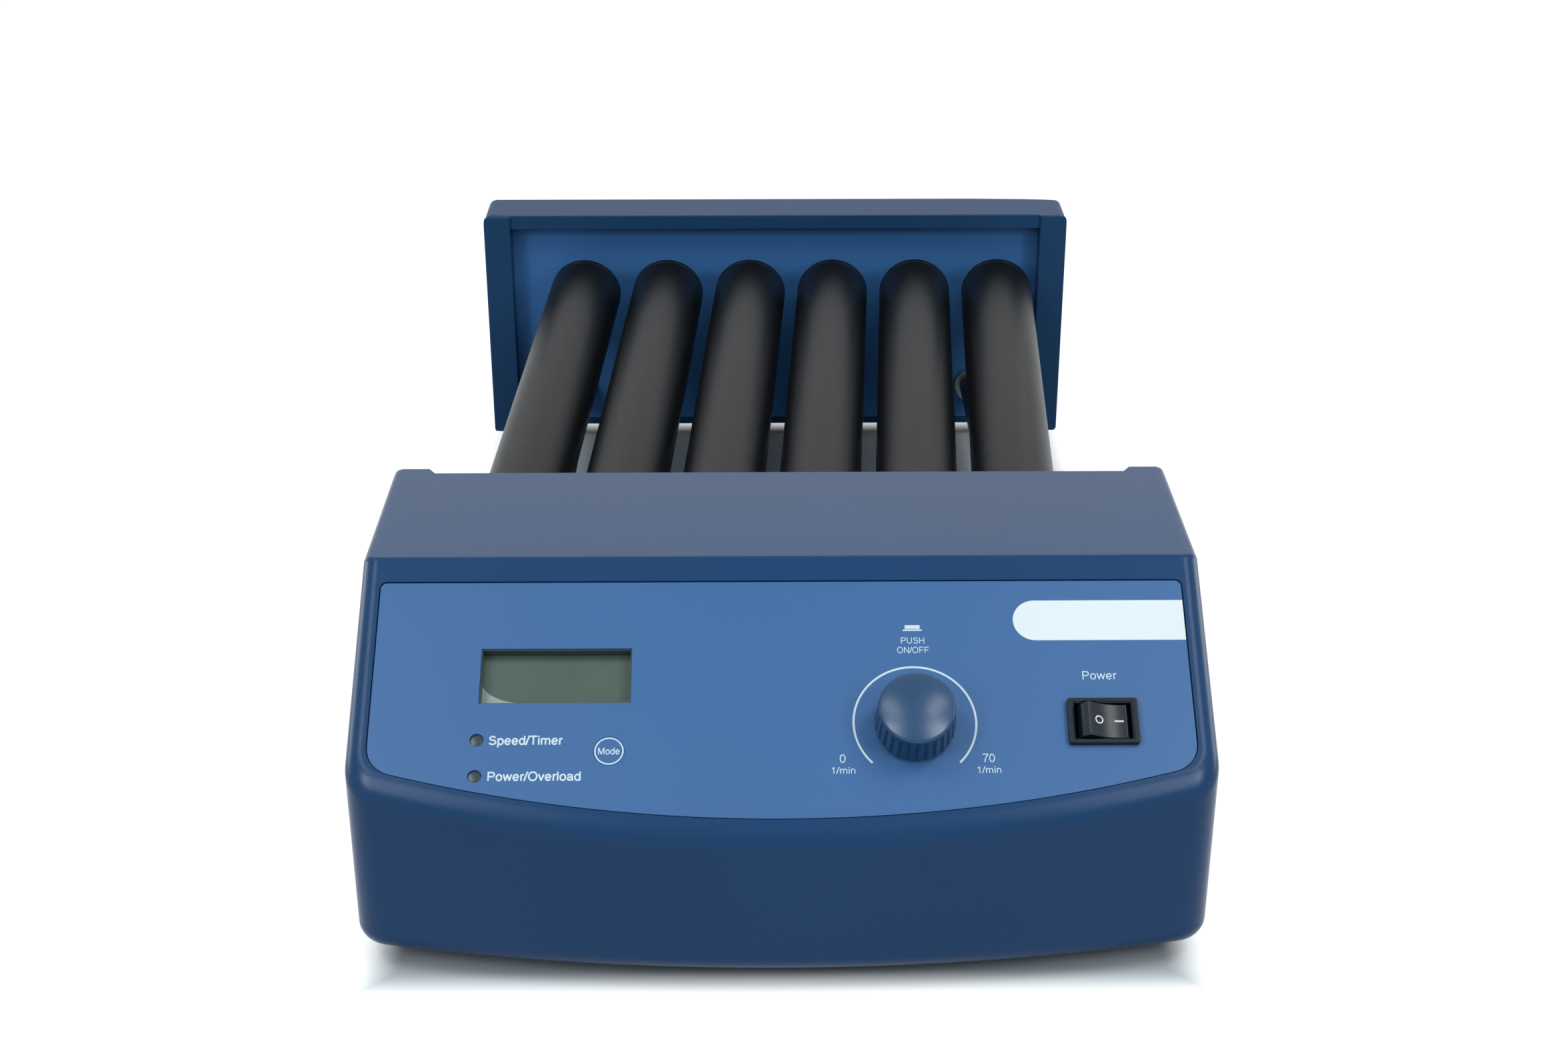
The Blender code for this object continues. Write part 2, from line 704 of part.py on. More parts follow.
def overlay_outline(grow):
    """The overlay's edge in the slope's frame, grown by the dark line round it."""
    return bowed_outline(
        WIDTH / 2 - OVERLAY_SIDE + grow,
        -(SLOPE_EDGE - OVERLAY_EDGE) - grow,
        -OVERLAY_TOP + grow,
        BOW_RADIUS * math.cos(CONTROL_ANGLE) + grow,
        OVERLAY_CORNER + grow,
        OVERLAY_TOP_CORNER + grow,
        OVERLAY_STEPS,
    )


def board_corners(margin):
    """Places set in from the control board's four corners."""
    xs = (BOARD_LEFT + margin, BOARD_RIGHT - margin)
    downs = (BOARD_START + margin, BOARD_END - margin)
    return [(x, down) for x in xs for down in downs]


def inlet_outline(width, height, chamfer):
    """The inlet's shape seen from outside: X to the rear, Y up, its two upper corners cut."""
    half_width = width / 2
    half_height = height / 2
    shoulder = half_height - chamfer
    top_half = half_width - chamfer
    return [
        (-half_width, -half_height), (half_width, -half_height), (half_width, shoulder),
        (top_half, half_height), (-top_half, half_height), (-half_width, shoulder),
    ]


def inlet_place(inward):
    """The frame of the inlet, a distance in from the right side wall's outer face."""
    middle = (WIDTH / 2 - inward, Y_RIM - INLET_SETBACK, FOOT_HEIGHT + INLET_RISE)
    return Matrix.Translation(middle) @ FACING_RIGHT


def build_front_housing():
    """The front shell, open at its rim and, inside a ledge for the base, below."""
    back = Y_RIM - PILLAR_DEPTH
    outer = front_solid(0, FOOT_HEIGHT, Y_RIM)
    outer = rounded(outer, front_edge_radius, FILLET_STEPS)
    opening, notch = rim_cutters(Y_RIM, -1)
    sole_opening = prism(front_base_outline(LEDGE_WIDTH, back), LEDGE_HEIGHT + 2 * OVERRUN)
    shifted(sole_opening, 0, 0, FOOT_HEIGHT - OVERRUN)
    recess = prism(overlay_outline(OVERLAY_OUTLINE), OVERLAY_RECESS + OVERRUN)
    moved(recess, SLOPE @ Matrix.Translation((0, 0, -OVERLAY_RECESS)))
    holes = gathered([prism(hole, WALL + 2 * OVERRUN) for hole in control_holes()])
    moved(holes, SLOPE @ Matrix.Translation((0, 0, -WALL - OVERRUN)))
    inlet_shape = inlet_outline(INLET_WIDTH + 2 * GAP, INLET_HEIGHT + 2 * GAP, SOCKET_CHAMFER)
    inlet = moved(prism(inlet_shape, WALL + 2 * OVERRUN), inlet_place(WALL + OVERRUN))
    bosses = []
    for x, down in board_corners(BOSS_MARGIN):
        boss = rod(BOSS_RADIUS, -WALL - BOSS_LENGTH, OVERRUN - WALL, BORE_SEGMENTS)
        bosses.append(moved(boss, on_slope(x, down)))
    steps = [
        ("DIFFERENCE", front_solid(WALL, FOOT_HEIGHT + LEDGE_HEIGHT, back)),
        ("DIFFERENCE", sole_opening),
        ("DIFFERENCE", opening),
        ("DIFFERENCE", notch),
        ("DIFFERENCE", recess),
        ("DIFFERENCE", holes),
        ("DIFFERENCE", inlet),
        ("UNION", gathered(bosses)),
    ]
    add_solid("front_housing", combined(outer, steps), "housing_blue")


def build_rear_housing():
    """The rear shell: a shallow box, open below and at its rim."""
    outer = block((-WIDTH / 2, Y_REAR_RIM, FOOT_HEIGHT), (WIDTH / 2, Y_BACK, HEIGHT))
    outer = rounded(outer, rear_edge_radius, FILLET_STEPS)
    opening, notch = rim_cutters(Y_REAR_RIM, 1)
    cavity = block(
        (WALL - WIDTH / 2, Y_REAR_RIM + PILLAR_DEPTH, FOOT_HEIGHT - OVERRUN),
        (WIDTH / 2 - WALL, Y_BACK - WALL, Z_CEILING),
    )
    steps = [("DIFFERENCE", cavity), ("DIFFERENCE", opening), ("DIFFERENCE", notch)]
    add_solid("rear_housing", combined(outer, steps), "housing_blue")


def build_bases():
    """The plates that close the two housings below, with a hole for each foot's peg."""
    peg_hole = FOOT_PEG_RADIUS + GAP
    inset = WALL + GAP
    outline = front_base_outline(LEDGE_WIDTH + GAP, Y_RIM - PANEL_FACE)
    places = foot_places()
    front_holes = [circle(peg_hole, BORE_SEGMENTS, (x, y)) for name, x, y in places if y < 0]
    rear_holes = [circle(peg_hole, BORE_SEGMENTS, (x, y)) for name, x, y in places if y > 0]
    level = Matrix.Translation((0, 0, FOOT_HEIGHT))
    add_solid("front_base", prism(outline, BASE_THICKNESS, front_holes), "housing_blue", level)
    rear = rectangle(inset - WIDTH / 2, WIDTH / 2 - inset, Y_REAR_RIM + PANEL_FACE, Y_BACK - inset)
    add_solid("rear_base", prism(rear, BASE_THICKNESS, rear_holes), "housing_blue", level)


def foot_places():
    """Each foot's name and place on the bench."""
    x = WIDTH / 2 - FOOT_INSET_X
    front = Y_FRONT + FOOT_INSET_FRONT
    rear = (Y_REAR_RIM + PANEL_FACE + Y_BACK - WALL) / 2
    return [
        ("foot_front_left", -x, front), ("foot_front_right", x, front),
        ("foot_rear_left", -x, rear), ("foot_rear_right", x, rear),
    ]


def build_feet():
    """Four rubber feet, each pushed into its base by a peg."""
    shoulder = FOOT_HEIGHT - GAP
    profile = [
        (0, 0), (FOOT_RADIUS - FOOT_TAPER, 0), (FOOT_RADIUS, shoulder), (FOOT_PEG_RADIUS, shoulder),
        (FOOT_PEG_RADIUS, Z_BASE_TOP - FOOT_PEG_SHORT), (0, Z_BASE_TOP - FOOT_PEG_SHORT),
    ]
    mesh = finished_mesh("foot", turned(profile, FOOT_SEGMENTS), "foot_rubber")
    for name, x, y in foot_places():
        add_piece(name, mesh, Matrix.Translation((x, y, 0)))


def panel_outline(ledge_width, ledge_height):
    """A rim panel's outline, stepped in over the ledge where its housing has one."""
    half = WIDTH / 2 - WALL - GAP
    bottom = Z_BASE_TOP + GAP
    step = bottom + ledge_height
    points = [(half, Z_CEILING - GAP), (-half, Z_CEILING - GAP), (-half, step)]
    if ledge_width > 0:
        foot = half - ledge_width
        points += [(-foot, step), (-foot, bottom), (foot, bottom), (foot, step)]
    return points + [(half, step)]


def build_bearing_stack(side, rear):
    """The blue panel behind a rim, and the bearing bar behind that, its six barrels through the panel."""
    barrel_holes = [circle(BARREL_RADIUS + GAP, BARREL_SEGMENTS, (x, Z_AXIS)) for x in ROLLER_XS]
    rod_holes = [circle(SPIGOT_RADIUS + GAP, BORE_SEGMENTS, (x, Z_ROD)) for x in (-ROD_X, ROD_X)]
    ledge_width, ledge_height = (0, 0) if rear else (LEDGE_WIDTH - WALL, LEDGE_HEIGHT - BASE_THICKNESS)
    panel = prism(panel_outline(ledge_width, ledge_height), PANEL_THICKNESS, barrel_holes + rod_holes)
    add_solid(side + "_panel", panel, "panel_blue", rim_place(rear, PANEL_BACK if rear else PANEL_FACE))
    bar_half = ROLLER_SPAN / 2 + BAR_MARGIN
    bar = prism(
        rectangle(-bar_half, bar_half, Z_ROD - BAR_FALL, Z_AXIS + BAR_RISE), BAR_THICKNESS, rod_holes
    )
    face = BAR_THICKNESS if rear else -BAR_THICKNESS
    end = face + math.copysign(BAR_FACE - PANEL_FACE + BARREL_PROUD, face)
    shifted(bar, 0, 0, min(face, 0))
    barrels = []
    bores = []
    for x in ROLLER_XS:
        barrel = rod(BARREL_RADIUS, min(face / 2, end), max(face / 2, end), BARREL_SEGMENTS)
        barrels.append(shifted(barrel, x, Z_AXIS, 0))
        bore = rod(STUB_BORE, min(-OVERRUN, end - OVERRUN), max(OVERRUN, end + OVERRUN), BARREL_SEGMENTS)
        bores.append(shifted(bore, x, Z_AXIS, 0))
    solid = combined(bar, [("UNION", gathered(barrels)), ("DIFFERENCE", gathered(bores))])
    add_solid(side + "_bearing_bar", solid, "bearing_plastic", rim_place(rear, BAR_BACK))


def build_tie_rods():
    """The two rods under the rollers that hold the housings apart, with a bright washer at each end."""
    reach = RIM_GAP / 2 + PANEL_FACE
    main = reach - WASHER_THICKNESS - 2 * GAP
    end = RIM_GAP / 2 + BAR_BACK - GAP
    profile = [
        (0, -end), (SPIGOT_RADIUS, -end), (SPIGOT_RADIUS, -main), (ROD_RADIUS, -main),
        (ROD_RADIUS, main), (SPIGOT_RADIUS, main), (SPIGOT_RADIUS, end), (0, end),
    ]
    rod_mesh = finished_mesh("tie_rod", turned(profile, ROD_SEGMENTS), "rod_steel")
    inner = SPIGOT_RADIUS + GAP
    washer = turned(rectangle(inner, WASHER_RADIUS, 0, WASHER_THICKNESS), ROD_SEGMENTS)
    washer_mesh = finished_mesh("rod_washer", washer, "steel")
    for side, x in (("left", -ROD_X), ("right", ROD_X)):
        middle = Matrix.Translation((x, Y_MIDDLE, Z_ROD)) @ FACING_FRONT
        add_piece("tie_rod_" + side, rod_mesh, middle)
        add_piece("rod_washer_front_" + side, washer_mesh, middle @ Matrix.Translation((0, 0, main + GAP)))
        far = Matrix.Translation((0, 0, -main - GAP - WASHER_THICKNESS))
        add_piece("rod_washer_rear_" + side, washer_mesh, middle @ far)


def roller_tilt():
    """Turns a roller's own axis away from its axis of rotation, high and right at the rear end."""
    away = math.pi + ROLLER_PHASE
    lean = math.sin(ROLLER_TILT)
    axis = Vector((lean * math.cos(away), lean * math.sin(away), math.cos(ROLLER_TILT)))
    return Vector((0, 0, 1)).rotation_difference(axis).to_matrix().to_4x4()


def build_rollers():
    """Six alike rollers: core with end caps and off-centre stub shafts, rubber sleeve, and drive gear."""
    tilt = roller_tilt()
    cap_start = HALF_ROLLER - CAP_THICKNESS
    sleeve_end = cap_start - SLEEVE_FIT
    inner = ROLLER_RADIUS - SLEEVE_THICKNESS
    tube = rectangle(inner, ROLLER_RADIUS, -sleeve_end, sleeve_end)
    sleeve = turned(tube, ROLLER_SEGMENTS)
    core_radius = inner - SLEEVE_FIT
    core = turned(
        [
            (0, -HALF_ROLLER), (ROLLER_RADIUS - ROLLER_EDGE, -HALF_ROLLER),
            (ROLLER_RADIUS, ROLLER_EDGE - HALF_ROLLER), (ROLLER_RADIUS, -cap_start),
            (core_radius, -cap_start), (core_radius, cap_start), (ROLLER_RADIUS, cap_start),
            (ROLLER_RADIUS, HALF_ROLLER - ROLLER_EDGE),
            (ROLLER_RADIUS - ROLLER_EDGE, HALF_ROLLER), (0, HALF_ROLLER),
        ],
        ROLLER_SEGMENTS,
    )
    inside = (HALF_ROLLER - CAP_THICKNESS / 2) / math.cos(ROLLER_TILT)
    front_stub = rod(STUB_RADIUS, inside, RIM_GAP / 2 + STUB_END, BORE_SEGMENTS)
    rear_stub = rod(STUB_RADIUS, STUB_REAR_SHORT - RIM_GAP / 2 - BAR_BACK, -inside, BORE_SEGMENTS)
    core = combined(moved(core, tilt), [("UNION", front_stub), ("UNION", rear_stub)])
    sleeve_mesh = finished_mesh("roller_sleeve", moved(sleeve, tilt), "roller_rubber")
    core_mesh = finished_mesh("roller_core", core, "roller_core")
    gear_mesh = gear("roller_gear", ROLLER_TEETH, STUB_RADIUS + GEAR_FIT, 0)
    for index, x in enumerate(ROLLER_XS, start=1):
        middle = Matrix.Translation((x, Y_MIDDLE, Z_AXIS)) @ FACING_FRONT
        add_piece("roller_sleeve_" + str(index), sleeve_mesh, middle)
        add_piece("roller_core_" + str(index), core_mesh, middle)
        add_piece("roller_gear_" + str(index), gear_mesh, rim_place(False, GEAR_FACE, x, Z_AXIS))


def gear_outline(teeth, turn):
    """Straight-sided teeth round a wheel, one tooth centred on the turn angle."""
    pitch_radius = MODULE * teeth / 2
    root = pitch_radius - MODULE * DEDENDUM_SHARE
    tip = pitch_radius + MODULE * ADDENDUM_SHARE
    step = 2 * math.pi / teeth
    points = []
    for tooth in range(teeth):
        middle = turn + tooth * step
        for radius, share in (
            (root, -TOOTH_ROOT_SHARE), (tip, -TOOTH_TIP_SHARE),
            (tip, TOOTH_TIP_SHARE), (root, TOOTH_ROOT_SHARE),
        ):
            angle = middle + share * step / 2
            points.append((radius * math.cos(angle), radius * math.sin(angle)))
    return points


def gear(name, teeth, bore, turn):
    """The mesh of a spur gear with a plain bore."""
    solid = prism(gear_outline(teeth, turn), GEAR_WIDTH, [circle(bore, BORE_SEGMENTS)])
    return finished_mesh(name, solid, "gear_nylon")


def build_gear_train():
    """The idlers between the roller gears, the plate with their pins, the motor and its pinion."""
    half_tooth = math.pi / IDLER_TEETH
    idler_mesh = gear("idler_gear", IDLER_TEETH, IDLER_PIN_RADIUS + IDLER_BORE_GAP, half_tooth)
    for index, x in enumerate(IDLER_XS, start=1):
        add_piece("idler_gear_" + str(index), idler_mesh, rim_place(False, GEAR_FACE, x, Z_AXIS))

    half = ROLLER_SPAN / 2 + BAR_MARGIN
    hole = circle(MOTOR_HOLE_RADIUS, BARREL_SEGMENTS, (PINION_X, Z_PINION))
    plate = prism(
        rectangle(-half, half, Z_BASE_TOP + GAP, Z_AXIS + BAR_RISE), PLATE_THICKNESS, [hole]
    )
    foot = block(
        (-half, Z_BASE_TOP + GAP, OVERRUN), (half, Z_BASE_TOP + GAP + PLATE_THICKNESS, PLATE_FOOT)
    )
    pins = []
    for x in IDLER_XS:
        pin_end = GEAR_FACE - PLATE_FACE
        shoulder = GEAR_BACK + GAP - PLATE_FACE
        profile = [
            (0, pin_end), (IDLER_PIN_RADIUS, pin_end), (IDLER_PIN_RADIUS, shoulder),
            (IDLER_SHOULDER, shoulder), (IDLER_SHOULDER, OVERRUN), (0, OVERRUN),
        ]
        pins.append(shifted(turned(profile, BORE_SEGMENTS), x, Z_AXIS, 0))
    solid = combined(plate, [("UNION", foot), ("UNION", gathered(pins))])
    add_solid("gear_plate", solid, "zinc_plate", rim_place(False, PLATE_FACE))

    head_end = MOTOR_HEAD_LENGTH
    can_end = head_end + MOTOR_CAN_LENGTH
    bore = STUB_RADIUS + GAP
    profile = [
        (0, MOTOR_BORE_DEPTH), (bore, MOTOR_BORE_DEPTH), (bore, 0), (MOTOR_HEAD_RADIUS - MOTOR_EDGE, 0),
        (MOTOR_HEAD_RADIUS, MOTOR_EDGE), (MOTOR_HEAD_RADIUS, head_end), (MOTOR_CAN_RADIUS, head_end),
        (MOTOR_CAN_RADIUS, can_end - MOTOR_EDGE), (MOTOR_CAN_RADIUS - MOTOR_EDGE, can_end), (0, can_end),
    ]
    place = rim_place(False, MOTOR_FACE, PINION_X, Z_PINION)
    add_solid("gear_motor", turned(profile, MOTOR_SEGMENTS), "steel", place)

    teeth = prism(gear_outline(PINION_TEETH, math.pi / 2), GEAR_WIDTH)
    shaft = rod(STUB_RADIUS, OVERRUN, MOTOR_FACE + MOTOR_BORE_DEPTH - GAP - GEAR_FACE, BORE_SEGMENTS)
    pinion = combined(teeth, [("UNION", shaft)])
    add_solid("motor_pinion", pinion, "gear_nylon", rim_place(False, GEAR_FACE, PINION_X, Z_PINION))


def build_overlay():
    """The light blue overlay in its recess."""
    overlay = prism(overlay_outline(0), OVERLAY_THICKNESS, control_holes())
    lift = Matrix.Translation((0, 0, -OVERLAY_SINK - OVERLAY_THICKNESS))
    add_solid("control_overlay", overlay, "overlay_blue", SLOPE @ lift)


def build_display():
    """The display's glass behind its window, and the frame that holds it off the board."""
    glass_bottom = UNDER_WALL + DISPLAY_GLASS
    glass = prism(display_outline(DISPLAY_LAP), DISPLAY_GLASS)
    add_solid("display_glass", glass, "display_glass", SLOPE @ Matrix.Translation((0, 0, -glass_bottom)))
    frame = prism(display_outline(DISPLAY_FRAME_LAP), BOARD_TOP - glass_bottom - 2 * GAP)
    stand = Matrix.Translation((0, 0, GAP - BOARD_TOP))
    add_solid("display_frame", frame, "bearing_plastic", SLOPE @ stand)


def build_lamps():
    """Two signal lamps standing on the board, their lenses just under the overlay."""
    start = GAP - BOARD_TOP
    rim = LAMP_RADIUS + LAMP_RIM
    profile = [
        (0, start), (rim, start), (rim, start + LAMP_RIM_HEIGHT), (LAMP_RADIUS, start + LAMP_RIM_HEIGHT),
        (LAMP_RADIUS, -LAMP_SINK), (0, -LAMP_SINK),
    ]
    mesh = finished_mesh("lamp", turned(profile, BORE_SEGMENTS), "lamp_lens")
    add_piece("speed_lamp", mesh, on_slope(LAMP_X, SPEED_LAMP_DOWN))
    add_piece("power_lamp", mesh, on_slope(LAMP_X, POWER_LAMP_DOWN))


def build_mode_button():
    """The push button: a disc level with the overlay, held in by a flange, with a stem over its switch."""
    flange_top = -UNDER_WALL
    flange_bottom = flange_top - MODE_FLANGE_HEIGHT
    stem_end = SWITCH_HEIGHT - BOARD_TOP + MODE_TRAVEL + SWITCH_CLEAR
    profile = [
        (0, stem_end), (MODE_STEM_RADIUS, stem_end), (MODE_STEM_RADIUS, flange_bottom),
        (MODE_RADIUS + MODE_FLANGE, flange_bottom), (MODE_RADIUS + MODE_FLANGE, flange_top),
        (MODE_RADIUS, flange_top), (MODE_RADIUS, -OVERLAY_SINK), (0, -OVERLAY_SINK),
    ]
    add_solid("mode_button", turned(profile, BARREL_SEGMENTS), "overlay_blue", on_slope(MODE_X, MODE_DOWN))


def build_control_board():
    """The control board, with the button's switch, a chip and a plug block on it."""
    board = prism(rectangle(BOARD_LEFT, BOARD_RIGHT, -BOARD_END, -BOARD_START), BOARD_THICKNESS)
    shifted(board, 0, 0, -BOARD_BOTTOM)
    sunk = -BOARD_TOP - BOARD_THICKNESS / 2
    half = SWITCH_SIDE / 2
    switch = block(
        (MODE_X - half, -MODE_DOWN - half, sunk),
        (MODE_X + half, half - MODE_DOWN, SWITCH_HEIGHT - BOARD_TOP),
    )
    chip = block((-CHIP_SIZE, -CHIP_DOWN, sunk), (0, CHIP_SIZE - CHIP_DOWN, CHIP_HEIGHT - BOARD_TOP))
    plug = block(
        (-PLUG_BLOCK_WIDTH / 2, -BOARD_END, -BOARD_BOTTOM - PLUG_BLOCK_HEIGHT),
        (PLUG_BLOCK_WIDTH / 2, PLUG_BLOCK_DEPTH - BOARD_END, sunk),
    )
    solid = combined(board, [("UNION", gathered([switch, chip])), ("UNION", plug)])
    add_solid("control_board", solid, "board_green", SLOPE)


def build_speed_control():
    """The encoder through the face, the plunger and shaft in its bore, and the fluted knob."""
    place = on_slope(KNOB_X, KNOB_DOWN)
    half = ENCODER_SIDE / 2
    body = block((-half, -half, GAP - BOARD_TOP), (half, half, -UNDER_WALL))
    bush = rod(BUSH_RADIUS, -UNDER_WALL - OVERRUN, BUSH_PROUD, BARREL_SEGMENTS)
    bore = rod(SHAFT_RADIUS + GAP, -BOARD_TOP - OVERRUN, BUSH_PROUD + OVERRUN, BARREL_SEGMENTS)
    add_solid("speed_encoder", combined(body, [("UNION", bush), ("DIFFERENCE", bore)]), "zinc_plate", place)

    plunger_top = -SHAFT_SINK - GAP
    plunger = rod(SHAFT_RADIUS, plunger_top - PLUNGER_LENGTH, plunger_top, BARREL_SEGMENTS)
    add_solid("encoder_plunger", plunger, "bearing_plastic", place)
    knob_top = KNOB_LIFT + KNOB_HEIGHT
    shaft_top = knob_top - SHAFT_ROOF - GAP
    add_solid("encoder_shaft", rod(SHAFT_RADIUS, -SHAFT_SINK, shaft_top, BARREL_SEGMENTS), "steel", place)

    loops = []
    half_flute = math.pi / KNOB_FLUTES
    land = half_flute * KNOB_LAND_SHARE
    for land_radius, groove_radius, z in (
        (KNOB_RADIUS, KNOB_RADIUS - KNOB_FLUTE, KNOB_LIFT),
        (KNOB_TOP_RADIUS, KNOB_TOP_RADIUS - KNOB_FLUTE, knob_top - KNOB_SHOULDER),
        (KNOB_FACE_RADIUS, KNOB_FACE_RADIUS, knob_top),
    ):
        ring = []
        for flute in range(KNOB_FLUTES):
            middle = 2 * half_flute * flute
            edges = (middle - land, middle + land, middle + land, middle + 2 * half_flute - land)
            radii = (land_radius, land_radius, groove_radius, groove_radius)
            for angle, radius in zip(edges, radii):
                ring.append((radius * math.cos(angle), radius * math.sin(angle), z))
        loops.append(ring)
    outer = lofted(loops)
    roof = knob_top - KNOB_ROOF
    hub_start = BUSH_PROUD + KNOB_TRAVEL + OVERRUN
    hub_bore = SHAFT_RADIUS + KNOB_FIT
    hub_radius = hub_bore + KNOB_HUB_WALL
    inner = KNOB_RADIUS - KNOB_WALL
    under = turned(
        [
            (0, KNOB_LIFT - OVERRUN), (inner, KNOB_LIFT - OVERRUN), (inner, roof), (hub_radius, roof),
            (hub_radius, hub_start), (hub_bore, hub_start), (hub_bore, knob_top - SHAFT_ROOF),
            (0, knob_top - SHAFT_ROOF),
        ],
        KNOB_SEGMENTS,
    )
    add_solid("speed_knob", combined(outer, [("DIFFERENCE", under)]), "housing_blue", place)


def build_rocker_switch():
    """The rocker's frame, a cup with a bezel, and the paddle on its two trunnions, pressed on its right."""
    place = on_slope(ROCKER_X, ROCKER_DOWN)
    half_width, half_height = rocker_half_sizes()
    body = block((-half_width, -half_height, -ROCKER_BODY_DEPTH), (half_width, half_height, OVERRUN))
    loops = []
    for shrink, z in ((0, 0), (0, BEZEL_THICKNESS - BEZEL_EDGE), (BEZEL_EDGE, BEZEL_THICKNESS)):
        across = BEZEL_WIDTH / 2 - shrink
        upward = BEZEL_HEIGHT / 2 - shrink
        outline = rectangle(-across, across, -upward, upward)
        loops.append([(x, y, z) for x, y in outline])
    hollow_width = half_width - ROCKER_WALL
    hollow_height = half_height - ROCKER_WALL
    hollow = block(
        (-hollow_width, -hollow_height, ROCKER_FLOOR - ROCKER_BODY_DEPTH),
        (hollow_width, hollow_height, BEZEL_THICKNESS + OVERRUN),
    )
    axle_hole = rod(TRUNNION_RADIUS + GAP, -half_height - OVERRUN, half_height + OVERRUN, BORE_SEGMENTS)
    moved(axle_hole, Matrix.Translation((0, 0, -PADDLE_PIVOT_DEPTH)) @ FACING_FRONT)
    steps = [("UNION", lofted(loops)), ("DIFFERENCE", hollow), ("DIFFERENCE", axle_hole)]
    add_solid("rocker_frame", combined(body, steps), "switch_black", place)

    right = arc((0, 0), PADDLE_RADIUS, PADDLE_ROOT_ANGLE, PADDLE_TIP_ANGLE, PADDLE_STEPS)
    tip_x, tip_z = right[-1]
    top = []
    for step in range(1, PADDLE_TOP_STEPS):
        across = 1 - 2 * step / PADDLE_TOP_STEPS
        top.append((tip_x * across, tip_z - PADDLE_DISH * (1 - across ** 2)))
    left = [(-x, z) for x, z in reversed(right)]
    keel = [(-PADDLE_KEEL_HALF, -PADDLE_KEEL_DEPTH), (PADDLE_KEEL_HALF, -PADDLE_KEEL_DEPTH)]
    paddle = prism(right + top + left + keel, 2 * PADDLE_HALF_WIDTH)
    moved(paddle, FACING_FRONT @ Matrix.Translation((0, 0, -PADDLE_HALF_WIDTH)))
    reach = PADDLE_HALF_WIDTH + TRUNNION_LENGTH
    axle = moved(rod(TRUNNION_RADIUS, -reach, reach, BORE_SEGMENTS), FACING_FRONT)
    turn = Matrix.Translation((0, 0, -PADDLE_PIVOT_DEPTH)) @ Matrix.Rotation(PADDLE_SWING, 4, "Y")
    add_solid("rocker_paddle", combined(paddle, [("UNION", axle)]), "switch_black", place @ turn)


def contact_blocks(grow, start, end):
    """The inlet's three contacts as blocks, or, grown by a gap, the slots that they pass through."""
    half_width = CONTACT_THICKNESS / 2 + grow
    half_height = CONTACT_HEIGHT / 2 + grow
    blocks = []
    for x, z in (
        (-CONTACT_SPREAD, -CONTACT_OFFSET), (0, CONTACT_OFFSET), (CONTACT_SPREAD, -CONTACT_OFFSET),
    ):
        low = (x - half_width, z - half_height, start)
        high = (x + half_width, z + half_height, end)
        blocks.append(block(low, high))
    return gathered(blocks)


def build_power_inlet():
    """The mains inlet in the side wall: a floored socket, and three contacts on a plate behind it."""
    place = inlet_place(INLET_DEPTH + GAP)
    floor_top = INLET_DEPTH - SOCKET_DEPTH
    floor_bottom = floor_top - INLET_FLOOR
    flange_top = INLET_DEPTH - WALL
    sleeve = prism(inlet_outline(INLET_WIDTH, INLET_HEIGHT, SOCKET_CHAMFER), INLET_DEPTH)
    flange = block(
        (-INLET_FLANGE_WIDTH / 2, -INLET_FLANGE_HEIGHT / 2, flange_top - INLET_FLANGE),
        (INLET_FLANGE_WIDTH / 2, INLET_FLANGE_HEIGHT / 2, flange_top),
    )
    hollow = inlet_outline(SOCKET_WIDTH, SOCKET_HEIGHT, SOCKET_CHAMFER)
    socket = shifted(prism(hollow, SOCKET_DEPTH + OVERRUN), 0, 0, floor_top)
    back = shifted(prism(hollow, floor_bottom + OVERRUN), 0, 0, -OVERRUN)
    steps = [
        ("UNION", flange),
        ("DIFFERENCE", socket),
        ("DIFFERENCE", back),
        ("DIFFERENCE", contact_blocks(GAP, floor_bottom - OVERRUN, floor_top + OVERRUN)),
    ]
    add_solid("power_inlet", combined(sleeve, steps), "switch_black", place)

    outline = inlet_outline(SOCKET_WIDTH - 2 * GAP, SOCKET_HEIGHT - 2 * GAP, SOCKET_CHAMFER)
    plate = prism(outline, floor_bottom - GAP)
    contacts = contact_blocks(0, GAP, floor_top + CONTACT_LENGTH)
    add_solid("inlet_contacts", combined(plate, [("UNION", contacts)]), "contact_brass", place)


def build_power_supply():
    """The power supply board on the front base, with its transformer and smoothing capacitor."""
    half_width = SUPPLY_WIDTH / 2
    half_depth = SUPPLY_DEPTH / 2
    board = block((-half_width, -half_depth, 0), (half_width, half_depth, BOARD_THICKNESS))
    sunk = BOARD_THICKNESS / 2
    coil_x = SUPPLY_WIDTH * COIL_OFFSET_SHARE
    coil = block(
        (coil_x - COIL_WIDTH / 2, -COIL_DEPTH / 2, sunk),
        (coil_x + COIL_WIDTH / 2, COIL_DEPTH / 2, COIL_HEIGHT),
    )
    capacitor = rod(CAPACITOR_RADIUS, sunk, CAPACITOR_HEIGHT, CAPACITOR_SEGMENTS)
    shifted(capacitor, -coil_x, 0, 0)
    solid = combined(board, [("UNION", gathered([coil, capacitor]))])
    place = Matrix.Translation((SUPPLY_X, Y_RIM - SUPPLY_SETBACK, Z_BASE_TOP + GAP))
    add_solid("power_supply", solid, "board_green", place)


def build_mixer():
    """Every piece of the mixer."""
    for old in list(bpy.data.objects):
        bpy.data.objects.remove(old, do_unlink=True)
    build_front_housing()
    build_rear_housing()
    build_bases()
    build_feet()
    build_bearing_stack("front", False)
    build_bearing_stack("rear", True)
    build_tie_rods()
    build_rollers()
    build_gear_train()
    build_overlay()
    build_display()
    build_lamps()
    build_mode_button()
    build_control_board()
    build_speed_control()
    build_rocker_switch()
    build_power_inlet()
    build_power_supply()


build_mixer()
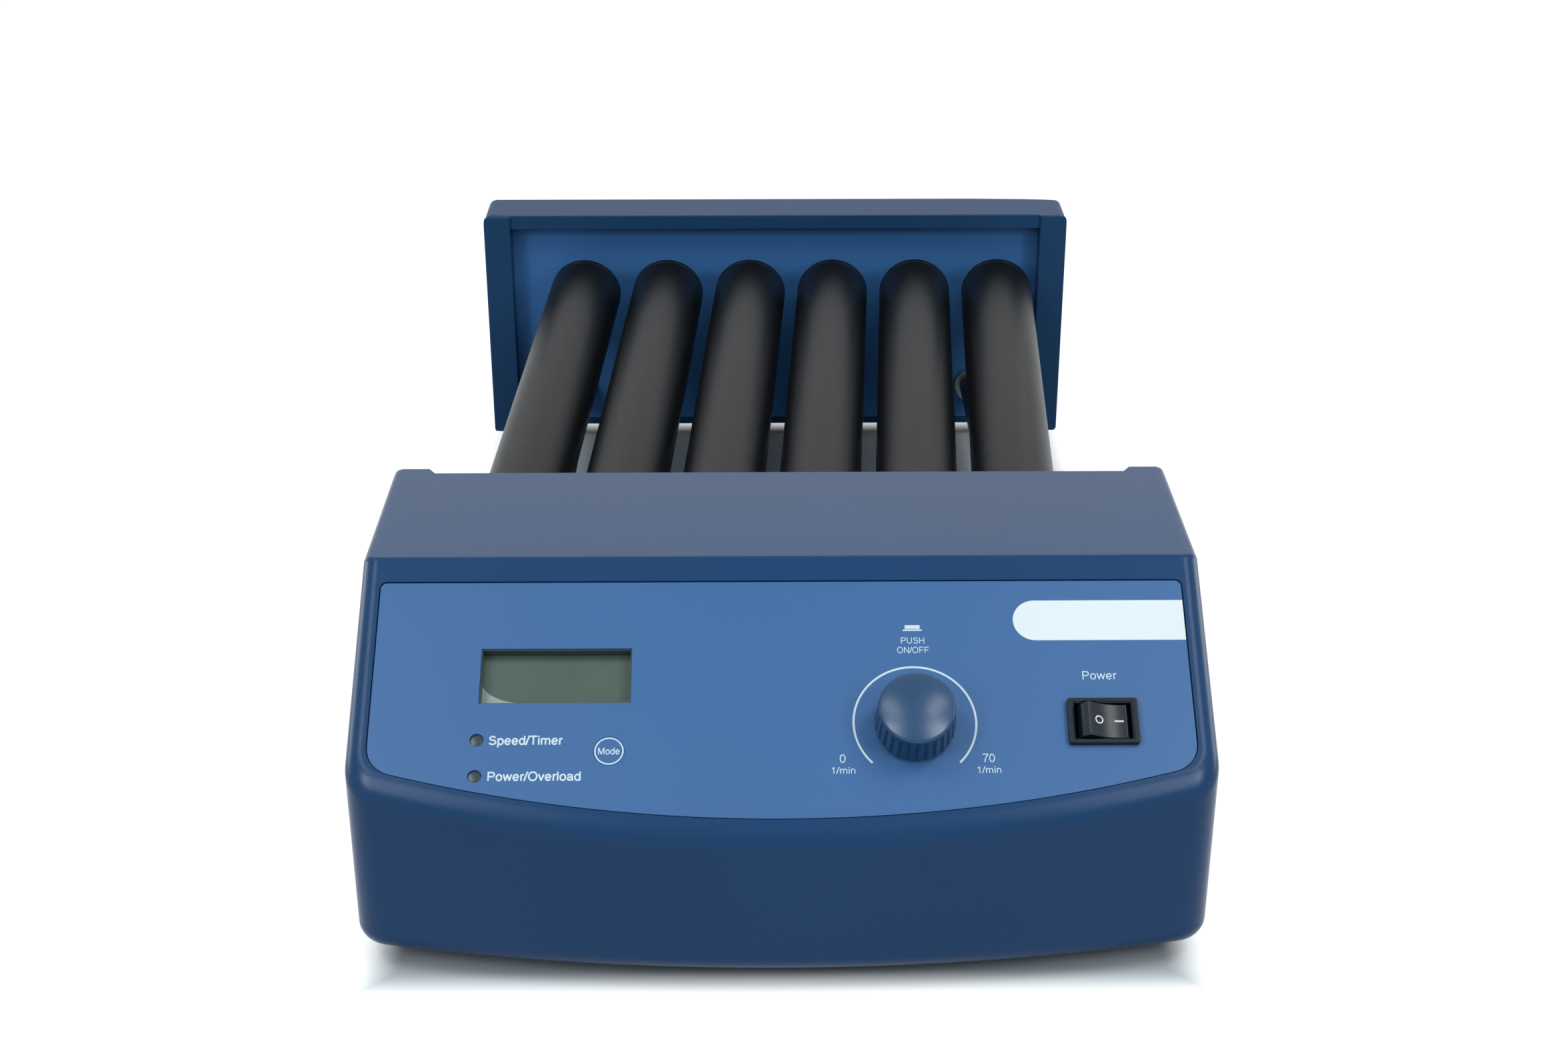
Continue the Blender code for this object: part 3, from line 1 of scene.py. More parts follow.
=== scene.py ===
"""Looks of the bench roller mixer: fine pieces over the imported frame, materials, light and camera.

Lengths are in metres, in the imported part's frame: X to the right seen from the controls, Y to the
rear, Z up. Places on the control face are given across it (X) and down it from its top edge.
"""

import json
import math

import bmesh
import bpy
from mathutils import Matrix, Vector
from mathutils.geometry import delaunay_2d_cdt


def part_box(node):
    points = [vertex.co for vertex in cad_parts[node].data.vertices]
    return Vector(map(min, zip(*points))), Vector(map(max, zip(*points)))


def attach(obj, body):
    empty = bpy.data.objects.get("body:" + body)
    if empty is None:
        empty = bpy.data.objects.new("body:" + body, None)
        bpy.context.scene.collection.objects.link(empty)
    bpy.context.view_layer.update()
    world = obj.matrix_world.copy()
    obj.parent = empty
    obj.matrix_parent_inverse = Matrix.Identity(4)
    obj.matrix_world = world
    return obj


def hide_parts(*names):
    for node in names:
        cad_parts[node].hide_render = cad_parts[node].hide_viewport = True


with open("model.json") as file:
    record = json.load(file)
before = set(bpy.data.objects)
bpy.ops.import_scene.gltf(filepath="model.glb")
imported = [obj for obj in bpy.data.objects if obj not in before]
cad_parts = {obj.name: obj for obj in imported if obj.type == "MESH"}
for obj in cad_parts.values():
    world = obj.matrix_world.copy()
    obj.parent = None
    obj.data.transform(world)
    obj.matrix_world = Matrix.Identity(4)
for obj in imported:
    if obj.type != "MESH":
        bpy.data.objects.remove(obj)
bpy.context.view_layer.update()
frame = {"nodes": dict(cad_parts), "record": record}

MM = 0.001
DEGREE = math.pi / 180

# Sizes of the two housings
WIDTH = 268 * MM
HEIGHT = 113.5 * MM
FOOT_HEIGHT = 6.6 * MM
WALL = 3 * MM
GAP = 0.3 * MM
OVERRUN = 1 * MM
PILLAR_WIDTH = 12 * MM
PILLAR_DEPTH = 10 * MM
LIP_HEIGHT = 6.3 * MM
LIP_CHAMFER = 2 * MM
# How far each rim's lip is set back, and how round its upper edge is
FRONT_LIP = (3.4 * MM, 2.2 * MM)
REAR_LIP = (1.6 * MM, 0.5 * MM)
TOP_FILLET = 4 * MM
RIM_FILLET = 1.8 * MM
REAR_RIM_FILLET = 0.7 * MM
KINK_FILLET = 1.0 * MM
FRONT_DEPTH = 149.5 * MM
TOP_DEPTH = 72 * MM
CONTROL_ANGLE = 35.6 * DEGREE
FRONT_DRAFT = 0.8 * DEGREE
BOW_RADIUS = 600 * MM
CORNER_RADIUS = 11 * MM
FACE_FILLET = 5.8 * MM
SOLE_FILLET = 6.8 * MM
LEDGE_WIDTH = 10 * MM
LEDGE_HEIGHT = 8 * MM
RIM_GAP = 284 * MM
REAR_DEPTH = 28.5 * MM
REAR_FILLET = 2 * MM

# Places along Y, and heights
Y_FRONT = -(FRONT_DEPTH + RIM_GAP + REAR_DEPTH) / 2
Y_RIM = Y_FRONT + FRONT_DEPTH
Y_KINK = Y_RIM - TOP_DEPTH
Y_REAR_RIM = Y_RIM + RIM_GAP
Y_BACK = Y_REAR_RIM + REAR_DEPTH
Y_MIDDLE = (Y_RIM + Y_REAR_RIM) / 2
Z_EDGE = HEIGHT - (Y_KINK - Y_FRONT) * math.tan(CONTROL_ANGLE)
Z_AXIS = 68.4 * MM
Z_ROD = 26.4 * MM

# Rollers
ROLLER_XS = [index * 38 * MM - 95 * MM for index in range(6)]
ROLLER_RADIUS = 16.1 * MM
ROLLER_THROW = 12.2 * MM
ROLLER_PHASE = 53 * DEGREE
HALF_BED = RIM_GAP / 2 - 1.1 * MM
HALF_ROLLER = math.hypot(HALF_BED - ROLLER_RADIUS * ROLLER_THROW / HALF_BED, ROLLER_THROW)
ROLLER_TILT = math.asin(ROLLER_THROW / HALF_ROLLER)
CAP_THICKNESS = 3 * MM
STUB_RADIUS = 3 * MM
STUB_FRONT = 32.5 * MM
STUB_REAR = 20.6 * MM
BARREL_RADIUS = 6.7 * MM
ROLLER_SEGMENTS = 96

# Tie rods
ROD_X = 94 * MM
ROD_RADIUS = 6 * MM
ROD_REACH = 10.3 * MM
ROD_HOLE = 4.3 * MM
WASHER_THICKNESS = 1.8 * MM

# Control face
OVERLAY_SINK = 0.3 * MM
OVERLAY_THICKNESS = 0.6 * MM
OVERLAY_RECESS = 1.2 * MM
OVERLAY_LINE = 0.4 * MM
OVERLAY_SIDE = 7.1 * MM
OVERLAY_TOP = 8.9 * MM
OVERLAY_FOOT = 6.0 * MM
SLOPE_EDGE = (Y_KINK - Y_FRONT) / math.cos(CONTROL_ANGLE)
# The window's middle, across and down, then its width and height
DISPLAY = (-70.25 * MM, 41.5 * MM, 47 * MM, 18.7 * MM)
DISPLAY_TOP = -3.3 * MM
LAMP_X = -93.6 * MM
LAMP_DOWNS = {"speed_lamp": 63.2 * MM, "power_lamp": 75.2 * MM}
LAMP_RADIUS = 1.85 * MM
MODE = (-53 * MM, 67 * MM)
MODE_RADIUS = 4.5 * MM
KNOB = (40.7 * MM, 58.8 * MM)
KNOB_HOLE = 4.8 * MM
KNOB_FLUTES = 28
ROCKER = (98.6 * MM, 58.2 * MM)
ROCKER_HALF = (9.45 * MM, 6.6 * MM)
PRINT_THICKNESS = 0.03 * MM
PRINT_LIFT = 0.002 * MM - OVERLAY_SINK
THIN_PRINT = 80
MODE_PRINT = 96
BOLD_PRINT = 122

# Mains inlet, and its middle behind the front rim and over the foot of the wall
INLET = (27 * MM, 19.5 * MM)
INLET_CHAMFER = 4 * MM
INLET_BACK = 45 * MM
INLET_UP = 26 * MM

# Levels of light
WORLD_LEVEL = 0.30
FLOOR_GLOW = 0.85

# How finely curves are cut
FILLET_STEPS = 8
BOW_STEPS = 44
CORNER_STEPS = 10
FINE = 64
SMALL = 40

# Letters, in thousandths of the type's size: how far each moves the pen on, and its strokes. A stroke
# goes through points (x, y) and arcs (x, y, half width, half height, first angle, last angle).
CAPITAL = 718
LETTERS = {
    "P": (667, [[(129, 0), (129, 718)],
                [(129, 675), (409, 675), (409, 505, 170, 170, 90, -90), (129, 335)]]),
    "U": (722, [[(122, 718), (122, 275), (361, 275, 239, 240, 180, 360), (600, 718)]]),
    "S": (667, [[(330, 532, 205, 143, 15, 270), (335, 212, 240, 177, 90, -165)]]),
    "H": (722, [[(120, 0), (120, 718)], [(603, 0), (603, 718)], [(120, 375), (603, 375)]]),
    "O": (778, [[(389, 359, 306, 336, 0, 360)]]),
    "N": (722, [[(118, 0), (118, 718)], [(604, 0), (604, 718)], [(130, 690), (592, 28)]]),
    "F": (611, [[(132, 0), (132, 718)], [(132, 677), (583, 677)], [(132, 355), (542, 355)]]),
    "T": (611, [[(21, 677), (593, 677)], [(307, 0), (307, 677)]]),
    "M": (833, [[(115, 0), (115, 718)], [(719, 0), (719, 718)], [(140, 700), (417, 40), (694, 700)]]),
    "/": (278, [[(5, -19), (273, 737)]]),
    "0": (556, [[(278, 350, 199, 322, 0, 360)]]),
    "1": (556, [[(317, 0), (317, 708)], [(115, 555), (235, 580), (300, 660)]]),
    "7": (556, [[(46, 675), (500, 675), (340, 440), (250, 225), (212, 0)]]),
    "m": (833, [[(108, 0), (108, 523)], [(262, 350, 154, 145, 180, 0), (416, 0)],
                [(570, 350, 154, 145, 180, 0), (724, 0)]]),
    "i": (222, [[(111, 0), (111, 523)], [(111, 616), (111, 718)]]),
    "n": (556, [[(108, 0), (108, 523)], [(278, 340, 170, 155, 180, 0), (448, 0)]]),
    "o": (556, [[(278, 262, 200, 233, 0, 360)]]),
    "w": (722, [[(50, 523), (205, 43), (361, 480), (517, 43), (672, 523)]]),
    "e": (556, [[(278, 262, 196, 233, 0, 325)], [(82, 262), (474, 262)]]),
    "r": (333, [[(120, 0), (120, 523)], [(300, 335, 180, 160, 180, 80)]]),
    "p": (556, [[(101, -207), (101, 523)], [(287, 262, 186, 233, 0, 360)]]),
    "d": (556, [[(456, 0), (456, 718)], [(268, 262, 186, 233, 0, 360)]]),
    "l": (222, [[(111, 0), (111, 718)]]),
    "a": (556, [[(258, 380, 172, 115, 170, 0), (430, 110), (470, 40), (520, 40)],
                [(430, 305), (300, 285), (215, 160, 130, 122, 100, 270), (320, 70), (430, 170)]]),
    "v": (500, [[(50, 523), (250, 43), (450, 523)]]),
}

SLOPE = Matrix.Translation((0, Y_KINK, HEIGHT)) @ Matrix.Rotation(CONTROL_ANGLE, 4, "X")
FACING_FRONT = Matrix.Rotation(math.pi / 2, 4, "X")
FACING_RIGHT = Matrix.Rotation(math.pi / 2, 4, "Z") @ FACING_FRONT
TURNED_OVER = Matrix.Rotation(math.pi, 4, "X")
IDENTITY = Matrix.Identity(4)
SHADE_ANGLE = 32 * DEGREE
WELD = 0.0005 * MM


# Outlines

def in_mm(*points):
    """Points in metres, from millimetres."""
    return [[value * MM for value in point] for point in points]


def circle(radius, segments, centre=(0, 0)):
    """Points round a circle."""
    turn = 2 * math.pi / segments
    return [
        (centre[0] + radius * math.cos(step * turn), centre[1] + radius * math.sin(step * turn))
        for step in range(segments)
    ]


def rectangle(left, right, low, high):
    """The four corners of a rectangle."""
    return [(left, low), (right, low), (right, high), (left, high)]


def arc(centre, radius, start, end, steps):
    """Points along an arc, both ends included."""
    points = []
    for step in range(steps + 1):
        angle = start + (end - start) * step / steps
        points.append((centre[0] + radius * math.cos(angle), centre[1] + radius * math.sin(angle)))
    return points


def round_rectangle(width, height, radius):
    """A rectangle with round corners."""
    points = []
    for quarter, (sign_x, sign_y) in enumerate(((1, 1), (-1, 1), (-1, -1), (1, -1))):
        corner = (sign_x * (width / 2 - radius), sign_y * (height / 2 - radius))
        points += arc(corner, radius, quarter * math.pi / 2, (quarter + 1) * math.pi / 2, 6)
    return points


def bowed_outline(half_width, front, back, bow_radius, corner_radius, back_corner=0):
    """A rectangle with a bowed front side, round front corners and, if asked, round back corners."""
    bow_centre = front + bow_radius
    corner_x = half_width - corner_radius
    corner_y = bow_centre - math.sqrt((bow_radius - corner_radius) ** 2 - corner_x ** 2)
    lean = math.atan2(corner_x, bow_centre - corner_y)
    right_corner = arc((corner_x, corner_y), corner_radius, lean - math.pi / 2, 0, CORNER_STEPS)
    bow = arc((0, bow_centre), bow_radius, -math.pi / 2 - lean, lean - math.pi / 2, BOW_STEPS)
    left_corner = [(-x, y) for x, y in reversed(right_corner)]
    points = left_corner[:-1] + bow + right_corner[1:]
    if back_corner > 0:
        turn_x = half_width - back_corner
        turn_y = back - back_corner
        back_right = arc((turn_x, turn_y), back_corner, 0, math.pi / 2, CORNER_STEPS)
        return points + back_right + [(-x, y) for x, y in reversed(back_right)]
    return points + [(half_width, back), (-half_width, back)]


# Solids

def prism(outline, depth, holes=()):
    """A plate of the outline, less its holes, from Z = 0 up to its depth."""
    bm = bmesh.new()
    edges = []
    for loop in [outline, *holes]:
        corners = [bm.verts.new((x, y, 0)) for x, y in loop]
        for start, end in zip(corners, corners[1:] + corners[:1]):
            edges.append(bm.edges.new((start, end)))
    filled = bmesh.ops.triangle_fill(bm, edges=edges, use_beauty=True)
    faces = [item for item in filled["geom"] if isinstance(item, bmesh.types.BMFace)]
    raised = bmesh.ops.extrude_face_region(bm, geom=faces)
    top = [item for item in raised["geom"] if isinstance(item, bmesh.types.BMVert)]
    bmesh.ops.translate(bm, verts=top, vec=(0, 0, depth))
    bmesh.ops.recalc_face_normals(bm, faces=bm.faces)
    return bm


def lofted(loops):
    """A closed solid through loops of equally many points, each a list of (x, y, z)."""
    bm = bmesh.new()
    rings = [[bm.verts.new(point) for point in loop] for loop in loops]
    for lower, upper in zip(rings, rings[1:]):
        for index in range(len(lower)):
            after = (index + 1) % len(lower)
            bm.faces.new((lower[index], lower[after], upper[after], upper[index]))
    bm.faces.new(reversed(rings[0]))
    bm.faces.new(rings[-1])
    bmesh.ops.recalc_face_normals(bm, faces=bm.faces)
    return bm


def turned(profile, segments):
    """A solid turned about Z from (radius, height) points, which make a ring if they start off the axis."""
    bm = bmesh.new()
    rings = []
    for radius, height in profile:
        if radius == 0:
            rings.append([bm.verts.new((0, 0, height))])
        else:
            rings.append([bm.verts.new((x, y, height)) for x, y in circle(radius, segments)])
    pairs = list(zip(rings, rings[1:]))
    if profile[0][0] > 0:
        pairs.append((rings[-1], rings[0]))
    for lower, upper in pairs:
        for step in range(segments):
            after = (step + 1) % segments
            if len(lower) == 1:
                bm.faces.new((lower[0], upper[after], upper[step]))
            elif len(upper) == 1:
                bm.faces.new((lower[step], lower[after], upper[0]))
            else:
                bm.faces.new((lower[step], lower[after], upper[after], upper[step]))
    bmesh.ops.recalc_face_normals(bm, faces=bm.faces)
    return bm


def rod(radius, start, end):
    """A plain cylinder about Z."""
    return turned([(0, start), (radius, start), (radius, end), (0, end)], SMALL)


def block(low, high):
    """A box between two corners."""
    bm = prism(rectangle(low[0], high[0], low[1], high[1]), high[2] - low[2])
    bmesh.ops.translate(bm, verts=bm.verts, vec=(0, 0, low[2]))
    return bm


def moved(bm, matrix):
    """The same solid, put through a matrix."""
    bmesh.ops.transform(bm, matrix=matrix, verts=bm.verts)
    return bm


def lifted(z):
    """A move along Z."""
    return Matrix.Translation((0, 0, z))


def mesh_of(solid, name):
    """A mesh of a solid, which goes."""
    mesh = bpy.data.meshes.new(name)
    solid.to_mesh(mesh)
    solid.free()
    return mesh


def linked(name, data):
    """A new object in the scene."""
    made = bpy.data.objects.new(name, data)
    bpy.context.scene.collection.objects.link(made)
    return made


def gathered(solids):
    """Several solids held in one mesh."""
    whole = bmesh.new()
    for solid in solids:
        mesh = mesh_of(solid, "piece")
        whole.from_mesh(mesh)
        bpy.data.meshes.remove(mesh)
    return whole


def helper_object(solid):
    """A passing object that holds a solid while modifiers work on it."""
    return linked("helper", mesh_of(solid, "helper"))


def evaluated_solid(body, helpers):
    """What the modifiers of a passing object make; the object and its helpers go."""
    depsgraph = bpy.context.evaluated_depsgraph_get()
    mesh = bpy.data.meshes.new_from_object(body.evaluated_get(depsgraph))
    for helper in helpers:
        bpy.data.objects.remove(helper, do_unlink=True)
    result = bmesh.new()
    result.from_mesh(mesh)
    bpy.data.meshes.remove(mesh)
    return result


def combined(base, steps):
    """The solid left when each (operation, solid) step has been done to the base in turn."""
    body = helper_object(base)
    helpers = [body]
    for operation, solid in steps:
        helper = helper_object(solid)
        modifier = body.modifiers.new(operation, "BOOLEAN")
        modifier.operation = operation
        modifier.object = helper
        helpers.append(helper)
    result = evaluated_solid(body, helpers)
    bmesh.ops.remove_doubles(result, verts=result.verts, dist=WELD)
    return result


def less(base, *cutters):
    """The base with each cutter taken out of it in turn."""
    return combined(base, [("DIFFERENCE", cutter) for cutter in cutters])


def rounded(bm, radius_of, steps):
    """Rounds each edge by the radius that radius_of gives for it, which is 0 for the ones to leave."""
    layer = bm.edges.layers.float.new("bevel_weight_edge")
    radii = [(edge, radius_of(edge)) for edge in bm.edges]
    widest = max(radius for edge, radius in radii)
    for edge, radius in radii:
        edge[layer] = radius / widest
    body = helper_object(bm)
    modifier = body.modifiers.new("Bevel", "BEVEL")
    modifier.limit_method = "WEIGHT"
    modifier.width = widest
    modifier.segments = steps
    return evaluated_solid(body, [body])


def softened(bm, radius):
    """Rounds every sharp edge a little."""
    return rounded(bm, lambda edge: radius if edge.calc_face_angle(0) > SHADE_ANGLE else 0, 3)


# Materials

def node(tree, kind, **values):
    """A shader node, with its inputs set by name."""
    made = tree.nodes.new(kind)
    for name, value in values.items():
        made.inputs[name.replace("_", " ")].default_value = value
    return made


def grained(name, colour, roughness, metallic=0.0, specular=0.5, tone=0.06, tone_scale=14,
            grain=2200, bump=0.1, relief=0.02, stretch=(1, 1, 1)):
    """A plastic, rubber or metal: two noises vary its colour, roughness and fine relief."""
    material = bpy.data.materials.new(name)
    material.use_nodes = True
    tree = material.node_tree
    shader = tree.nodes["Principled BSDF"]
    shader.inputs["Metallic"].default_value = metallic
    shader.inputs["Specular IOR Level"].default_value = specular
    place = tree.nodes.new("ShaderNodeTexCoord")
    mapping = node(tree, "ShaderNodeMapping", Scale=stretch)
    tree.links.new(place.outputs["Object"], mapping.inputs["Vector"])
    broad = node(tree, "ShaderNodeTexNoise", Scale=tone_scale, Detail=4.0, Roughness=0.55)
    fine = node(tree, "ShaderNodeTexNoise", Scale=grain, Detail=3.0, Roughness=0.6)
    for noise in (broad, fine):
        tree.links.new(mapping.outputs["Vector"], noise.inputs["Vector"])
    ramp = tree.nodes.new("ShaderNodeValToRGB")
    for element, place_share, share in zip(ramp.color_ramp.elements, (0.3, 0.7), (1 - tone, 1 + tone)):
        element.position = place_share
        element.color = (*[min(channel * share, 1) for channel in colour], 1)
    tree.links.new(broad.outputs["Fac"], ramp.inputs["Fac"])
    tree.links.new(ramp.outputs["Color"], shader.inputs["Base Color"])
    level = node(tree, "ShaderNodeMapRange", From_Min=0.3, From_Max=0.7, To_Min=roughness - 0.05,
                 To_Max=roughness + 0.05)
    tree.links.new(fine.outputs["Fac"], level.inputs["Value"])
    tree.links.new(level.outputs["Result"], shader.inputs["Roughness"])
    raised = node(tree, "ShaderNodeBump", Strength=bump, Distance=relief * MM)
    tree.links.new(fine.outputs["Fac"], raised.inputs["Height"])
    tree.links.new(raised.outputs["Normal"], shader.inputs["Normal"])
    return material


def roller_material(name, colour):
    """Satin black rubber: faint warm and cool tints along the roller, and very fine turning marks."""
    material = grained(name, colour, 0.37, specular=0.12, tone=0.25, tone_scale=9, grain=900,
                       bump=0.12, relief=0.02, stretch=(0.6, 0.6, 2.5))
    ramp = next(item for item in material.node_tree.nodes if item.type == "VALTORGB").color_ramp
    for element, shares in zip(ramp.elements, ((0.9, 1.06, 0.98), (1.25, 1.02, 1.0))):
        element.color = (*[channel * share for channel, share in zip(colour, shares)], 1)
    return material


MATERIALS = {
    "housing_blue": grained("housing plastic", (0.0070, 0.0490, 0.141), 0.26, specular=0.165, tone=0.04,
                            grain=2600, bump=0.16, relief=0.03),
    "panel_blue": grained("panel plastic", (0.047, 0.170, 0.430), 0.44, specular=0.15, tone=0.04,
                          grain=2400, bump=0.12, relief=0.03),
    "overlay_blue": grained("overlay film", (0.0215, 0.112, 0.298), 0.45, specular=0.44, tone=0.025,
                            tone_scale=8, grain=5200, bump=0.1, relief=0.012),
    "roller_rubber": roller_material("roller rubber", (0.0036, 0.0048, 0.0068)),
    "roller_core": roller_material("roller cap", (0.0030, 0.0042, 0.0065)),
    "switch_black": grained("switch black", (0.0015, 0.008, 0.016), 0.30, specular=0.24, grain=3000,
                            bump=0.1),
    "display_glass": grained("display glass", (0.068, 0.114, 0.092), 0.2, specular=0.4, tone=0.12,
                             tone_scale=22, bump=0.0),
    "lamp_lens": grained("lamp lens", (0.024, 0.046, 0.060), 0.26, specular=0.4, tone=0.1, bump=0.05),
    "foot_rubber": grained("foot rubber", (0.014, 0.014, 0.015), 0.78, specular=0.3, grain=1500,
                           bump=0.3, relief=0.05),
    "gear_nylon": grained("gear nylon", (0.62, 0.60, 0.54), 0.5, grain=1800, bump=0.15),
    "bearing_plastic": grained("bearing plastic", (0.035, 0.036, 0.04), 0.5, grain=1800, bump=0.15),
    "steel": grained("bright steel", (0.46, 0.48, 0.46), 0.32, metallic=1.0, tone=0.08, grain=2600,
                     bump=0.08, stretch=(1, 1, 6)),
    "rod_steel": grained("dark steel", (0.075, 0.078, 0.082), 0.38, metallic=1.0, tone=0.1, grain=2200,
                         bump=0.1, stretch=(1, 1, 0.05)),
    "zinc_plate": grained("zinc plate", (0.50, 0.52, 0.53), 0.42, metallic=1.0, tone=0.12, grain=700,
                          bump=0.1),
    "board_green": grained("circuit board", (0.018, 0.12, 0.05), 0.45, tone=0.15, grain=1200, bump=0.1),
    "contact_brass": grained("brass", (0.60, 0.45, 0.2), 0.28, metallic=1.0, tone=0.08, grain=2600),
}
REAR_FINISH = grained("rear housing blue", (0.0090, 0.0500, 0.130), 0.44, specular=0.125, tone=0.05,
                      grain=1500, bump=0.2, relief=0.05)
PADDLE_FINISH = grained("paddle plastic", (0.0015, 0.008, 0.016), 0.30, specular=0.33, tone=0.05,
                        grain=2600, bump=0.08)
KNOB_FINISH = grained("knob plastic", (0.005, 0.053, 0.138), 0.31, specular=0.43, tone=0.04, grain=2600,
                      bump=0.08, relief=0.02)
PRINT = grained("print ink", (0.62, 0.76, 0.82), 0.55, specular=0.3, tone=0.02, grain=3000, bump=0.04)
PILL = grained("white field", (0.74, 0.83, 0.86), 0.55, specular=0.3, tone=0.015, grain=3000, bump=0.04)
MARKS = grained("switch marks", (0.72, 0.76, 0.77), 0.5, tone=0.03, grain=2600, bump=0.05)
DISPLAY_BACK = grained("display backing", (0.26, 0.34, 0.33), 0.4, tone=0.08, tone_scale=60, bump=0.05)
# The same backing colour darkened: painted shade for the display's right corner plate.
DISPLAY_SHADE = grained("display backing in shade", (0.055, 0.085, 0.078), 0.4, tone=0.08, tone_scale=60,
                        bump=0.05)
LINER = grained("display liner", (0.022, 0.044, 0.048), 0.5, tone=0.05, bump=0.1)


# Pieces

def add(name, bm, slot, body="root", replaces=(), matrix=IDENTITY, material=None, weighted=True):
    """A fine piece that rides on a body, with its finish, and the CAD nodes that it stands for."""
    mesh = mesh_of(bm, name)
    mesh.materials.append(material or MATERIALS[slot])
    mesh.shade_smooth()
    mesh.set_sharp_from_angle(angle=SHADE_ANGLE)
    piece = linked(name, mesh)
    piece.matrix_world = matrix
    if weighted:
        modifier = piece.modifiers.new("Even shading", "WEIGHTED_NORMAL")
        modifier.keep_sharp = True
    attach(piece, body)
    if replaces:
        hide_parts(*replaces)
    return piece


def on_slope(x, down, up=0):
    """The frame of a control: X across, Y up the slope, Z square out of the sloping face."""
    return SLOPE @ Matrix.Translation((x, -down, up))


def front_y(z):
    """Where the middle of the bowed front wall stands at a height."""
    return Y_FRONT + (Z_EDGE - z) * math.tan(FRONT_DRAFT)


def front_base_outline(inset, back):
    """The front housing's plan at its foot, set in by a distance."""
    corner = max(CORNER_RADIUS - inset, OVERRUN)
    return bowed_outline(
        WIDTH / 2 - inset, front_y(FOOT_HEIGHT) + inset, back, BOW_RADIUS - inset, corner
    )


def front_solid(inset, bottom, back):
    """The front housing's outer form, or the same form set in by a wall."""
    loops = []
    for z in (bottom, HEIGHT - inset):
        outline = bowed_outline(
            WIDTH / 2 - inset, front_y(z) + inset, back, BOW_RADIUS - inset, CORNER_RADIUS - inset
        )
        loops.append([(x, y, z) for x, y in outline])
    bm = lofted(loops)
    normal = SLOPE.to_3x3() @ Vector((0, 0, 1))
    point = SLOPE.translation - normal * inset
    everything = [*bm.verts, *bm.edges, *bm.faces]
    bmesh.ops.bisect_plane(bm, geom=everything, plane_co=point, plane_no=normal, clear_outer=True)
    open_edges = [edge for edge in bm.edges if edge.is_boundary]
    bmesh.ops.holes_fill(bm, edges=open_edges, sides=0)
    bmesh.ops.recalc_face_normals(bm, faces=bm.faces)
    return bm


def edge_lies(edge, axis, place):
    """Whether an edge lies at a place along an axis."""
    return all(abs(vert.co[axis] - place) < 2 * WELD for vert in edge.verts)


def front_edge_radius(edge):
    """How round each edge of the front housing is."""
    if edge.calc_face_angle() < SHADE_ANGLE:
        return 0
    if edge_lies(edge, 1, Y_RIM):
        return RIM_FILLET
    if edge_lies(edge, 2, FOOT_HEIGHT):
        return SOLE_FILLET
    if edge_lies(edge, 2, HEIGHT):
        return KINK_FILLET if edge_lies(edge, 1, Y_KINK) else TOP_FILLET
    return FACE_FILLET


def rear_edge_radius(edge):
    """How round each edge of the rear housing is."""
    if edge_lies(edge, 1, Y_REAR_RIM):
        return REAR_RIM_FILLET
    if edge_lies(edge, 2, HEIGHT) and not edge_lies(edge, 1, Y_BACK):
        return TOP_FILLET
    return REAR_FILLET


def rim_cutters(rim, inward, lip):
    """What opens a housing at its rim: the opening between the pillars, and the lip's step back.

    The lip's upper edge is rounded, so its cutter is the notch's plan crossed with its side view.
    """
    setback, fillet = lip
    opening_half = WIDTH / 2 - PILLAR_WIDTH
    near = rim - inward * OVERRUN
    far = rim + inward * (PILLAR_DEPTH + OVERRUN)
    opening = block(
        (-opening_half, min(near, far), FOOT_HEIGHT - OVERRUN),
        (opening_half, max(near, far), HEIGHT - LIP_HEIGHT),
    )
    lean = LIP_CHAMFER / FRONT_LIP[0]
    depth = setback + fillet
    wide = opening_half + GAP + lean * OVERRUN
    narrow = opening_half - lean * depth
    end = rim + inward * depth
    plan = prism([(-wide, near), (wide, near), (narrow, end), (-narrow, end)], LIP_HEIGHT + 2 * OVERRUN)
    low = HEIGHT - LIP_HEIGHT - OVERRUN
    moved(plan, lifted(low))
    curve = arc((depth, HEIGHT - fillet), fillet, math.pi, math.pi / 2, FILLET_STEPS)
    over = HEIGHT + OVERRUN
    side = [(-OVERRUN, low), (setback, low), *curve, (depth, over), (-OVERRUN, over)]
    notch = moved(prism(side, 2 * wide), lifted(-wide))
    moved(notch, Matrix(((0, 0, 1, 0), (inward, 0, 0, rim), (0, 1, 0, 0), (0, 0, 0, 1))))
    bmesh.ops.recalc_face_normals(notch, faces=notch.faces)
    return opening, combined(notch, [("INTERSECT", plan)])


def window(lap):
    """The display's window, grown by a lap all round, in the slope's frame."""
    x, down, width, height = DISPLAY
    return rectangle(
        x - width / 2 - lap, x + width / 2 + lap, -down - height / 2 - lap, -down + height / 2 + lap
    )


def control_holes():
    """The openings that the overlay and the wall under it share, in the slope's frame."""
    half_width, half_height = ROCKER_HALF
    lamps = [circle(LAMP_RADIUS + GAP, SMALL, (LAMP_X, -down)) for down in LAMP_DOWNS.values()]
    return [
        window(0),
        *lamps,
        circle(MODE_RADIUS + GAP, SMALL, (MODE[0], -MODE[1])),
        circle(KNOB_HOLE, SMALL, (KNOB[0], -KNOB[1])),
        rectangle(
            ROCKER[0] - half_width - GAP, ROCKER[0] + half_width + GAP,
            -ROCKER[1] - half_height - GAP, -ROCKER[1] + half_height + GAP,
        ),
    ]


def overlay_outline(grow):
    """The overlay's edge in the slope's frame, grown by the dark line round it."""
    return bowed_outline(
        WIDTH / 2 - OVERLAY_SIDE + grow,
        -(SLOPE_EDGE - OVERLAY_FOOT) - grow,
        -OVERLAY_TOP + grow,
        BOW_RADIUS * math.cos(CONTROL_ANGLE) + grow,
        9.5 * MM + grow,
        2 * MM + grow,
    )


